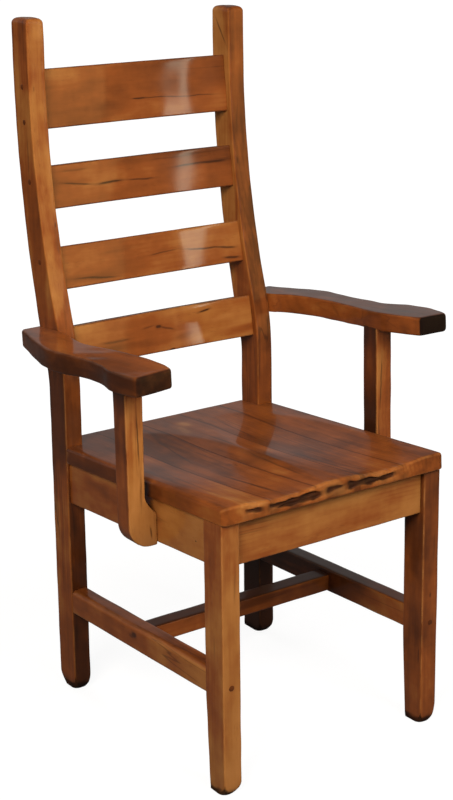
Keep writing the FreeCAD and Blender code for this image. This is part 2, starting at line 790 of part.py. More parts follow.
os.makedirs("parts", exist_ok=True)
for node, piece in nodes.items():
    piece.Shape.exportStep("parts/%s.step" % node)
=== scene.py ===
import math
from collections import namedtuple

import bpy
import numpy as np
from mathutils import Matrix, Vector


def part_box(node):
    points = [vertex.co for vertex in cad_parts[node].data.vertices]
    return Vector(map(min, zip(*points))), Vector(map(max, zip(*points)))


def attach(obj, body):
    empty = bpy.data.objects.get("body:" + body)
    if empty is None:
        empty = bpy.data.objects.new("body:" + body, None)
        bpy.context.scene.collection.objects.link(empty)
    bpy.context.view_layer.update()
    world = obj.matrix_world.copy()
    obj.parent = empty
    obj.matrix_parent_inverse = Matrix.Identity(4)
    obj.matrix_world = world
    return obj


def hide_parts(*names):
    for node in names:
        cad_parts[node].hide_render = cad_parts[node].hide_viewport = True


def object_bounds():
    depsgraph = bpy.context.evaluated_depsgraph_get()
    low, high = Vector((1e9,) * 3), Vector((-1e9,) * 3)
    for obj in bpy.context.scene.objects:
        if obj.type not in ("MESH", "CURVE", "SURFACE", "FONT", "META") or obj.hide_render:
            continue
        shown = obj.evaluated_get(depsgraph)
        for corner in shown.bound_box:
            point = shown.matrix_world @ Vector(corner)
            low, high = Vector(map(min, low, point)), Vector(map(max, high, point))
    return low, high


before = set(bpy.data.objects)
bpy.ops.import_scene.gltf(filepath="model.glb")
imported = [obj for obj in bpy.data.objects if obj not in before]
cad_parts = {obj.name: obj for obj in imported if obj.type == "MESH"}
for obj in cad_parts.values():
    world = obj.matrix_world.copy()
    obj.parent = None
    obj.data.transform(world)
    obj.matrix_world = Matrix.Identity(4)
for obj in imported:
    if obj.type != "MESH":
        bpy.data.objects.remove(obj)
cad_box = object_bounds()
MM = 0.001
X_AXIS, Y_AXIS, Z_AXIS = np.eye(3)


def box(node):
    """A node's lowest and highest corners in millimetres."""
    return [np.array(corner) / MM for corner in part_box(node)]


# Sizes in millimetres and degrees. Depths run back from the front legs' faces, which lie at FRONT.
leg_low, leg_high = box("front_leg_right")
post_low, post_high = box("rear_post_right")
HALF_WIDTH, FRONT = leg_high[0], leg_low[1]
LEG_WIDTH, LEG_DEPTH = leg_high[0] - leg_low[0], leg_high[1] - leg_low[1]
FOOT_TAPER, FOOT_TAPER_HEIGHT = 7.5, 150
POST_WIDTH, POST_DEPTH = post_high[0] - post_low[0], 50
POST_FRONT = post_low[1] - FRONT
FRAME_DEPTH = POST_FRONT + POST_DEPTH
BACK_HEIGHT, BACK_RAKE = post_high[2], 75
BEND_START, BEND_END = 520, 1030
BEND_RADIUS, HEEL_RADIUS = 400, 120
SEAT_HEIGHT, SEAT_TILT, SEAT_THICKNESS = 457, math.radians(3.3), 27
SEAT_OVERHANG, SEAT_SIDE = 6, 1
SEAT_BOARDS = 5
SCOOP_DEPTH, SCOOP_WIDTH, SCOOP_MIDDLE = 9, 190, 196
SCOOP_FRONT_REACH, SCOOP_REAR_REACH, SCOOP_CREASE = 290, 236, 0.4
APRON_HEIGHT, APRON_THICKNESS = 70, 22
FRONT_APRON_INSET, SIDE_APRON_INSET = 9, 5
STRETCHER_TOP, STRETCHER_DROP = 194, 12.6
STRETCHER_HEIGHT, STRETCHER_THICKNESS, STRETCHER_INSET = 40, 28, 1
CROSS_PLACE, CROSS_RISE, CROSS_HEIGHT, CROSS_THICKNESS = 239, 2.5, 28.5, 31
SLAT_THICKNESS, SLAT_BOW, SLAT_SETBACK, SLAT_HOUSED = 20, 10, 10, 6
SLAT_HEIGHT, TOP_SLAT_HEIGHT, TOP_SLAT_LEAN = 69.5, 94.5, math.radians(4)
LOWEST_SLAT, HIGHEST_SLAT = 555, 935.5
ARM_TOP, ARM_TILT, ARM_FRONT, ARM_LENGTH = 647, math.radians(3.6), 82, 424
ARM_THICKNESS, ARM_SAG, ARM_TAIL_SLANT = 30, 2.4, 2
SUPPORT_FRONT, SUPPORT_DEPTH, SUPPORT_GAP, SUPPORT_WIDTH = 174, 34, 15.5, 32
SUPPORT_ROUND, SUPPORT_BELOW, SUPPORT_LET_IN = 37, 3.5, 4
COVE_HEIGHT, COVE_ABOVE, COVE_POWER = 32, 8, 1.7
PLUG_RADIUS = 4.5
SIDES = {"left": -1, "right": 1}


# Heights, leans and curves shared by several pieces

def under_seat(depth):
    """Height of the underside of the tilted seat."""
    fall = (depth + SEAT_OVERHANG) * math.tan(SEAT_TILT)
    return SEAT_HEIGHT - SEAT_THICKNESS / math.cos(SEAT_TILT) - fall


def stretcher_line(depth):
    """Height of the side stretchers' top edges."""
    return STRETCHER_TOP - (depth - LEG_DEPTH) * STRETCHER_DROP / (POST_FRONT - LEG_DEPTH)


def post_lean(height, low):
    """How far a post's face lies behind its foot, for a face whose lower bend has the radius low."""
    height = np.asarray(height, float)
    turn = 2 * math.atan(BACK_RAKE / (BEND_END - BEND_START))
    high = (BEND_END - BEND_START) / math.sin(turn) - low
    rise = np.clip(height - BEND_START, 0, low * math.sin(turn))
    lower = low - np.sqrt(low ** 2 - rise ** 2)
    below = np.clip(BEND_END - height, 0, high * math.sin(turn))
    upper = BACK_RAKE - high + np.sqrt(high ** 2 - below ** 2)
    return np.where(height <= BEND_START + low * math.sin(turn), lower, upper)


def ease(value, start, end):
    """Rises smoothly from 0 at the start to 1 at the end, which may lie below the start."""
    share = np.clip((value - start) / (end - start), 0, 1)
    return share * share * (3 - 2 * share)


def facing(normals, direction, start=0.4, end=0.9):
    """1 where a surface faces a direction, and 0 where it is turned away."""
    return ease(normals @ np.array(direction, float), start, end)


def smooth_line(points, at):
    """A smooth curve through (place, value) points, read at some places."""
    places, values = np.array(points, float).T
    slope = np.gradient(values, places)
    index = np.clip(np.searchsorted(places, at) - 1, 0, len(places) - 2)
    width = places[index + 1] - places[index]
    share = np.clip((at - places[index]) / width, 0, 1)
    blend = ease(share, 0, 1)
    start_bend = (share ** 3 - 2 * share ** 2 + share) * width * slope[index]
    end_bend = (share ** 3 - share ** 2) * width * slope[index + 1]
    return values[index] * (1 - blend) + values[index + 1] * blend + start_bend + end_bend


def spot(value, middle, reach):
    """1 at a middle, fading to 0 on both sides."""
    return np.exp(-((value - middle) / reach) ** 2)


def wobble(points, seed, wave, amount):
    """Slow seeded waves over points in space, from -amount to amount."""
    dice = np.random.default_rng(seed)
    waves = 7
    steepest = 1.6
    shortest, longest = 0.6, 1.7
    total = 0
    for _ in range(waves):
        direction = dice.normal(size=3)
        direction *= 2 * math.pi / (wave * dice.uniform(shortest, longest)) / np.linalg.norm(direction)
        total = total + np.sin(points @ direction + dice.uniform(0, 2 * math.pi))
    return np.clip(total / math.sqrt(waves), -steepest, steepest) / steepest * amount


def waver(places, seed, wave, amount):
    """The same along a line."""
    return wobble(np.stack([places, 0 * places, 0 * places], -1), seed, wave, amount)


# Bars: rounded sections swept along a line

CORNER_STEPS = 5
END_STEPS = 7
ROUND_LIMIT = 0.49
SMALLEST_RADIUS = 0.02
SHARP_EDGE = math.radians(42)
Bar = namedtuple("Bar", "path u_axis v_axis span_u span_v radii places inset end_grain steps")


def straight(start, direction, places):
    """A straight path from a start."""
    return np.array(start, float) + places[:, None] * np.array(direction, float)


def along_bar(length, step, start_round, end_round):
    """Places along a bar, how far its section is drawn in there, and how much of it is end grain.
    Each round is (along, inset), the size of the quarter ellipse at that end."""
    turns = np.linspace(0, math.pi / 2, END_STEPS)
    starts = start_round[0] * (1 - np.cos(turns))
    ends = length - end_round[0] * (1 - np.cos(turns[::-1]))
    count = max(2, int(round((ends[0] - starts[-1]) / step)))
    middle = np.linspace(starts[-1], ends[0], count + 1)[1:-1]
    fade = ease(turns, math.pi / 3, 0)
    start_inset = start_round[1] * (1 - np.sin(turns))
    end_inset = end_round[1] * (1 - np.sin(turns[::-1]))
    places = np.concatenate([starts, middle, ends])
    inset = np.concatenate([start_inset, 0 * middle, end_inset])
    return places, inset, np.concatenate([fade, 0 * middle, fade[::-1]])


def section(span_u, span_v, radii, steps):
    """Rounded rectangles, one per station: points in (u, v), and how near each lies to a corner's middle.
    radii has four columns, for the corners (u0, v0), (u1, v0), (u1, v1) and (u0, v1)."""
    limit = ROUND_LIMIT * np.minimum(span_u[:, 1] - span_u[:, 0], span_v[:, 1] - span_v[:, 0])
    radii = np.clip(np.minimum(radii, limit[:, None]), SMALLEST_RADIUS, None)
    corners = ((1, 0, -90), (1, 1, 0), (0, 1, 90), (0, 0, 180))
    arcs = []
    for (side_u, side_v, first), slot in zip(corners, (1, 2, 3, 0)):
        radius = radii[:, slot]
        centre_u = span_u[:, side_u] + (1 - 2 * side_u) * radius
        centre_v = span_v[:, side_v] + (1 - 2 * side_v) * radius
        turns = np.radians(first + np.linspace(0, 90, CORNER_STEPS + 1))[:, None]
        arc = np.stack([centre_u + radius * np.cos(turns), centre_v + radius * np.sin(turns)], -1)
        arcs.append(list(arc))
    points, edge = [], []
    for index, arc in enumerate(arcs):
        points += arc
        edge += [math.sin(math.pi * i / CORNER_STEPS) for i in range(CORNER_STEPS + 1)]
        following = arcs[(index + 1) % len(arcs)]
        count = steps[1] if index % 2 == 0 else steps[0]
        for share in np.linspace(0, 1, count + 1)[1:-1]:
            points.append(arc[-1] * (1 - share) + following[0] * share)
            edge.append(0)
    return np.stack(points, 1), np.array(edge)


def tube_faces(stations, count, flip):
    """Quads between rings of points, and a cap at each end."""
    faces = []
    for row in range(stations - 1):
        for column in range(count):
            a, b = row * count + column, row * count + (column + 1) % count
            faces.append((a, b, b + count, a + count))
    faces.append(tuple(range(count))[::-1])
    faces.append(tuple(range((stations - 1) * count, stations * count)))
    return [face[::-1] for face in faces] if flip else faces


def outward(points, faces):
    """Vertex normals of a closed mesh."""
    mesh = bpy.data.meshes.new("scratch")
    mesh.from_pydata(points.tolist(), [], faces)
    normals = np.zeros(len(points) * 3)
    mesh.vertex_normals.foreach_get("vector", normals)
    bpy.data.meshes.remove(mesh)
    return normals.reshape(-1, 3)


def new_piece(node, finish, points, faces, attributes):
    """A smooth mesh that stands for a CAD node and stays inside the CAD model's box."""
    mesh = bpy.data.meshes.new("wood_" + node)
    inside = np.clip(points * MM, *np.array(cad_box))
    mesh.from_pydata(inside.tolist(), [], faces)
    for key, values in attributes.items():
        vector = values.ndim == 2
        layer = mesh.attributes.new(key, "FLOAT_VECTOR" if vector else "FLOAT", "POINT")
        layer.data.foreach_set("vector" if vector else "value", values.astype(np.float32).ravel())
    mesh.shade_smooth()
    mesh.set_sharp_from_angle(angle=SHARP_EDGE)
    mesh.materials.append(wood(node, finish))
    piece = bpy.data.objects.new("wood_" + node, mesh)
    bpy.context.scene.collection.objects.link(piece)
    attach(piece, "root")
    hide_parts(node)


def sweep(node, finish, bar, shape=None, grain_of=None, **painted):
    """A swept piece with an uneven, hewn surface. shape(points, grain) may move its points, and grain_of
    turns its (along, u, v) into grain. The painted functions of points, grain and normals say where the
    piece is burnt dark or darkened by painted shade (burn), worn pale (rub), stained or given
    painted light and shade, darker or paler (tint), and dull (matt)."""
    stations = len(bar.places)
    inset = np.broadcast_to(bar.inset.reshape(stations, -1), (stations, 4))
    span_u = np.broadcast_to(np.asarray(bar.span_u, float), (stations, 2)) + inset[:, :2] * (1, -1)
    span_v = np.broadcast_to(np.asarray(bar.span_v, float), (stations, 2)) + inset[:, 2:] * (1, -1)
    radii = np.broadcast_to(np.asarray(bar.radii, float), (stations, 4))
    ring, edge = section(span_u, span_v, radii, bar.steps)
    u_axis, v_axis = np.array(bar.u_axis, float), np.array(bar.v_axis, float)
    points = (bar.path[:, None] + ring[..., :1] * u_axis + ring[..., 1:] * v_axis).reshape(-1, 3)
    count = ring.shape[1]
    along = np.broadcast_to(bar.places[:, None, None], (stations, count, 1))
    grain = np.concatenate([along, ring], -1).reshape(-1, 3)
    flip = np.dot(np.cross(u_axis, v_axis), bar.path[-1] - bar.path[0]) < 0
    faces = tube_faces(stations, count, flip)
    if shape:
        points = shape(points, grain)
    uneven = wobble(points, WOOD[node].surface_seed, finish.wave, finish.depth / 2)
    points = points + outward(points, faces) * uneven[:, None]
    normals = outward(points, faces)
    attributes = {name: paint(points, grain, normals) for name, paint in painted.items()}
    attributes["grain"] = (grain_of(grain) if grain_of else grain) * MM
    attributes["wear"] = np.clip(np.tile(edge, stations) + attributes.pop("rub", 0), 0, 1)
    attributes["endgrain"] = np.repeat(bar.end_grain, count)
    new_piece(node, finish, points, faces, attributes)


# Shader nodes

class Graph:
    """Adds nodes to a tree. Inputs may be numbers, tuples or other nodes' outputs."""

    def __init__(self, tree):
        self.tree = tree

    def set(self, node, inputs):
        for key, value in inputs.items():
            if isinstance(value, bpy.types.NodeSocket):
                self.tree.links.new(value, node.inputs[key])
            elif value is not None:
                node.inputs[key].default_value = value

    def add(self, kind, inputs=None, **settings):
        node = self.tree.nodes.new("ShaderNode" + kind)
        for key, value in settings.items():
            setattr(node, key, value)
        self.set(node, inputs or {})
        return node

    def math(self, operation, a, b=None, c=None):
        return self.add("Math", {0: a, 1: b, 2: c}, operation=operation).outputs[0]

    def multiply(self, a, b):
        return self.math("MULTIPLY", a, b)

    def scale_add(self, value, scale, total):
        """total plus a value times a scale."""
        return self.math("MULTIPLY_ADD", value, scale, total)

    def add_share(self, total, value, share):
        """total plus a share of how far a noise value lies from its middle."""
        return self.scale_add(self.math("SUBTRACT", value, 0.5), share, total)

    def vector(self, operation, a, b=None):
        return self.add("VectorMath", {0: a, 1: b}, operation=operation).outputs[0]

    def noise(self, vector, per_metre, detail=2, roughness=0.5, distortion=0):
        """Noise with some waves per metre along, across and through a board."""
        inputs = {"Vector": self.vector("MULTIPLY", vector, per_metre), "Scale": 1, "Detail": detail}
        inputs.update({"Roughness": roughness, "Distortion": distortion})
        return self.add("TexNoise", inputs).outputs["Fac"]

    def cells(self, vector, per_metre):
        scaled = self.vector("MULTIPLY", vector, per_metre)
        return self.add("TexVoronoi", {"Vector": scaled, "Scale": 1}, feature="F1")

    def fit(self, value, low, high, to_low=0, to_high=1, kind="SMOOTHSTEP"):
        inputs = {"Value": value, "From Min": low, "From Max": high, "To Min": to_low, "To Max": to_high}
        return self.add("MapRange", inputs, interpolation_type=kind).outputs["Result"]

    def mix(self, factor, a, b):
        a, b = (value + (1,) if isinstance(value, tuple) else value for value in (a, b))
        return self.add("Mix", {0: factor, 6: a, 7: b}, data_type="RGBA").outputs[2]

    def mix_shaders(self, factor, a, b):
        return self.add("MixShader", {0: factor, 1: a, 2: b}).outputs[0]

    def ramp(self, factor, stops):
        node = self.add("ValToRGB", {0: factor})
        while len(node.color_ramp.elements) < len(stops):
            node.color_ramp.elements.new(0.5)
        for element, (place, colour) in zip(node.color_ramp.elements, stops):
            element.position = place
            element.color = colour + (1,)
        return node.outputs[0]

    def attribute(self, name, output="Fac"):
        node = self.add("Attribute", attribute_type="GEOMETRY", attribute_name=name)
        return node.outputs[output]


def new_material(name):
    """A material without nodes, and the graph to fill it."""
    material = bpy.data.materials.new(name)
    material.use_nodes = True
    material.node_tree.nodes.clear()
    return material, Graph(material.node_tree)


def new_group(name, inputs, outputs):
    tree = bpy.data.node_groups.new(name, "ShaderNodeTree")
    for label, kind in inputs:
        tree.interface.new_socket(label, in_out="INPUT", socket_type=kind)
    for label in outputs:
        tree.interface.new_socket(label, in_out="OUTPUT", socket_type="NodeSocketFloat")
    return Graph(tree), tree.nodes.new("NodeGroupInput").outputs, tree.nodes.new("NodeGroupOutput")


# Blotches of stain on a board: waves per metre, detail, roughness and share
BLOTCHES = (
    ((4.5, 14, 14), 3, 0.5, 0.85), ((15, 28, 28), 3, 0.55, 0.6),
    ((75, 14, 14), 1, 0.5, 0.1),
)
BAND_SHARE, FIBRE_SHARE, RING_SHARE, WISP_SHARE = 0.13, 0.08, -0.06, -0.22
RINGS_PER_METRE, RING_SHARPNESS = 900, 2.2
ACROSS_DRIFT, DEEP_DRIFT = 0.016, 0.022


def figure_group():
    """The figure of a maple board: blotches, wisps, rings, fibres, mineral streaks, pores and worm holes."""
    labels = ("Shade", "Fibre", "Band", "Mineral", "Pore", "Hole")
    g, start, end = new_group("WoodFigure", [("Grain", "NodeSocketVector")], labels)
    grain = start["Grain"]
    fibre = g.noise(grain, (18, 520, 520), 2, 0.6)
    band = g.noise(grain, (3, 70, 70), 4, 0.55, 0.3)

    split = g.add("SeparateXYZ", {0: grain}).outputs
    across = g.scale_add(g.noise(grain, (5, 16, 16), 2), ACROSS_DRIFT, split[1])
    deep = g.scale_add(g.noise(grain, (2.2, 7, 7), 1), DEEP_DRIFT, split[2])
    radius = g.math("SQRT", g.math("ADD", g.multiply(across, across), g.multiply(deep, deep)))
    wave = g.math("SINE", g.multiply(radius, RINGS_PER_METRE))
    ring = g.math("POWER", g.scale_add(wave, 0.5, 0.5), RING_SHARPNESS)
    ring_gate = g.fit(g.noise(grain, (3, 9, 9), 1), 0.42, 0.62)

    shade = 0.5
    for per_metre, detail, roughness, share in BLOTCHES:
        shade = g.add_share(shade, g.noise(grain, per_metre, detail, roughness), share)
    shade = g.add_share(shade, band, BAND_SHARE)
    shade = g.add_share(shade, fibre, FIBRE_SHARE)
    shade = g.scale_add(g.multiply(ring, ring_gate), RING_SHARE, shade)
    wisp = g.fit(g.noise(grain, (3.2, 30, 30), 2, 0.5, 0.2), 0.56, 0.74)
    shade = g.scale_add(wisp, WISP_SHARE, shade)

    vein = g.noise(grain, (2.6, 36, 36), 2, 0.5, 0.35)
    ridge = g.fit(g.math("ABSOLUTE", g.math("SUBTRACT", vein, 0.5)), 0.018, 0.002)
    ridge_gate = g.fit(g.noise(grain, (3.1, 11, 11), 1), 0.56, 0.66)
    pore = g.fit(g.cells(grain, (60, 420, 420)).outputs["Distance"], 0.3, 0.12)
    pore_gate = g.fit(g.noise(grain, (14, 60, 60), 1), 0.5, 0.62)
    worm = g.cells(grain, (17, 24, 24)).outputs
    chance = g.add("SeparateColor", {0: worm["Color"]}).outputs[0]
    hole = g.multiply(g.fit(worm["Distance"], 0.045, 0.025), g.fit(chance, 0.86, 0.88))
    results = (shade, fibre, band, g.multiply(ridge, ridge_gate), g.multiply(pore, pore_gate), hole)
    g.set(end, dict(zip(labels, results)))
    return g.tree


def mark_group():
    """A streak or knot at a place on a board: a ragged ellipse that runs along the grain."""
    labels = ("Along", "Across", "Centre along", "Centre across", "Half length", "Half width", "Slope")
    g, start, end = new_group("WoodMark", [(label, "NodeSocketFloat") for label in labels], ("Mark",))
    along = g.math("SUBTRACT", start["Along"], start["Centre along"])
    level = g.scale_add(start["Slope"], along, start["Centre across"])
    x = g.math("POWER", g.math("ABSOLUTE", g.math("DIVIDE", along, start["Half length"])), 3)
    y = g.math("DIVIDE", g.math("SUBTRACT", start["Across"], level), start["Half width"])
    reach = g.math("SQRT", g.scale_add(y, y, x))
    soft = 0.45
    rim = g.multiply(g.fit(reach, 1, 0.2), soft)
    g.set(end, {"Mark": g.scale_add(g.fit(reach, 0.52, 0.22), 1 - soft, rim)})
    return g.tree


FIGURE = figure_group()
MARK = mark_group()

# Linear colours of the stained maple, from the palest to the darkest, and the stain from dark to pale
PALE = (0.45, 0.185, 0.049)
AMBER = (0.36, 0.137, 0.031)
RUSSET = (0.24, 0.062, 0.012)
UMBER = (0.105, 0.027, 0.0065)
STREAK = (0.040, 0.0125, 0.005)
CHAR = (0.010, 0.0052, 0.0035)
STAIN = ((-0.3, STREAK), (0.08, UMBER), (0.38, RUSSET), (0.62, AMBER), (0.88, PALE))
DARKEST = STAIN[0][0]

# Streaks and knots seen in the photograph: millimetres along and across a board, half sizes, and how dark.
# A negative strength makes a pale spot; one on the lower slat is a painted highlight and two on the seat's
# middle board are a painted reflection. The axis is the board's width (1) or its thickness (2).
Mark = namedtuple("Mark", "along across length width slope strength axis", defaults=(0, 0.8, 1))
RAGGED = 0.005

# A kind of piece: its material slot, the depth and the length of the waves in its hewn surface, how much
# mineral streaks show, the lacquer's gloss, how much wear pales the edges, where a negative value darkens
# them instead, which on the slats is painted shade, how strong fine streaks are, and the contrast of the
# figure
Finish = namedtuple("Finish", "slot depth wave minerals gloss wear streaks contrast", defaults=(0.45, 0.1, 1))
PORE_STRENGTH, HOLE_STRENGTH, END_GRAIN_STRENGTH = 0.22, 0.9, 0.6
LACQUER = {"Specular IOR Level": 0.2, "Coat IOR": 1.5}


def paint_marks(g, grain, colour, marks):
    ragged = g.add_share(0, g.noise(grain, (22, 50, 50), 2, 0.5), RAGGED)
    uneven = g.fit(g.noise(grain, (26, 300, 300), 2, 0.6), 0.2, 0.55, 0.65, 1)
    split = g.add("SeparateXYZ", {0: grain}).outputs
    across = {axis: g.math("ADD", split[axis], ragged) for axis in {mark.axis for mark in marks}}
    for mark in marks:
        inputs = {
            "Along": split[0], "Across": across[mark.axis], "Slope": mark.slope,
            "Centre along": mark.along * MM, "Centre across": mark.across * MM,
            "Half length": mark.length * MM, "Half width": mark.width * MM,
        }
        shape = g.add("Group", inputs, node_tree=MARK).outputs["Mark"]
        amount = g.multiply(g.multiply(shape, uneven), abs(mark.strength))
        colour = g.mix(amount, colour, STREAK if mark.strength > 0 else PALE)
    return colour


def wood(node, finish):
    """A piece's stained, lacquered maple."""
    material, g = new_material("wood_of_" + node)
    board = WOOD[node]
    dice = np.random.default_rng(board.figure_seed)
    grain = g.attribute("grain", "Vector")
    offset = (dice.uniform(-3, 3), dice.uniform(0.05, 0.12), dice.uniform(0.03, 0.09))
    moved = g.vector("ADD", grain, offset)
    part = g.add("Group", {"Grain": moved}, node_tree=FIGURE).outputs

    shade = g.scale_add(part["Shade"], finish.contrast, board.tone - 0.5 * finish.contrast)
    shade = g.add_share(shade, g.noise(moved, (3, 110, 110), 3, 0.6), finish.streaks)
    # The tint attribute adds the pieces' painted light and shade, and some stain.
    shade = g.math("ADD", shade, g.attribute("tint"))
    stain_and_shade = g.fit(shade, DARKEST, 1, kind="LINEAR")
    colour = g.ramp(stain_and_shade, [((at - DARKEST) / (1 - DARKEST), tint) for at, tint in STAIN])
    colour = g.mix(g.multiply(part["Pore"], PORE_STRENGTH), colour, STREAK)
    colour = g.mix(g.multiply(part["Mineral"], finish.minerals), colour, STREAK)
    if board.marks:
        colour = paint_marks(g, grain, colour, [Mark(*values) for values in board.marks])
    colour = g.mix(g.multiply(part["Hole"], HOLE_STRENGTH), colour, CHAR)

    end = g.multiply(g.attribute("endgrain"), END_GRAIN_STRENGTH)
    colour = g.mix(end, colour, g.mix(part["Fibre"], CHAR, UMBER))
    cloud = g.noise(grain, (60, 60, 60), 3, 0.6)
    # Burnt places, and the painted shade in the seat's pockets and on the feet's sides towards +X, go to
    # char.
    burn = g.multiply(g.attribute("burn"), g.fit(cloud, 0.2, 0.6, 0.82, 1))
    colour = g.mix(burn, colour, CHAR)
    # Worn edges go pale; a negative wear value darkens the edges instead, which on the slats is painted
    # shade.
    edge_patchiness = g.fit(g.noise(grain, (22, 22, 22), 3, 0.6), 0.35, 0.65, 0.1, 1)
    edge = g.multiply(g.attribute("wear"), edge_patchiness)
    edge = g.multiply(edge, g.math("SUBTRACT", 1, burn))
    colour = g.mix(g.multiply(edge, abs(finish.wear)), colour, PALE if finish.wear > 0 else STREAK)

    rough = g.scale_add(burn, 0.25, g.scale_add(part["Band"], 0.16, 0.3))
    relief = g.scale_add(part["Fibre"], 0.35, g.multiply(part["Pore"], -0.5))
    relief = g.scale_add(g.noise(grain, (30, 55, 55), 2), 1.2, relief)
    relief = g.scale_add(part["Hole"], -4, relief)
    bump = g.add("Bump", {"Strength": 0.25, "Distance": 0.0006, "Height": relief}).outputs[0]
    dull = g.math("MAXIMUM", burn, g.attribute("matt"))
    coat = g.scale_add(dull, -finish.gloss, finish.gloss)
    inputs = {"Base Color": colour, "Roughness": rough, "Normal": bump, "Coat Weight": coat, **LACQUER}
    inputs["Coat Roughness"] = 0.16 - 0.1 * finish.gloss
    shader = g.add("BsdfPrincipled", inputs).outputs[0]
    g.add("OutputMaterial", {"Surface": shader})
    return material


# Kinds of stained pieces, and the wood of each piece

POST = Finish("frame_wood", 0.7, 70, 0.6, 0.5, 0.3, 0.35)
LEG = Finish("frame_wood", 0.6, 70, 0.5, 0.7, 0.5, 0.25)
# The slats' negative value paints shade along their edges.
SLAT = Finish("slat_wood", 0.25, 90, 0.35, 1, -0.6, contrast=0.8)
CROSS_RAIL = Finish("frame_wood", 0.5, 80, 0.35, 0.5, -0.3)
SIDE_RAIL = Finish("frame_wood", 0.7, 70, 0.5, 0.7, 0.2)
SUPPORT = Finish("frame_wood", 0.7, 50, 0.4, 0.7)
ARM = Finish("arm_wood", 0.6, 45, 0.3, 0.6, 0.1)
SEAT = Finish("seat_wood", 0.2, 90, 0.5, 1, 0.35, 0.3)
PLUG = Finish("plug_wood", 0, 0, 0, 0.2, -0.5)

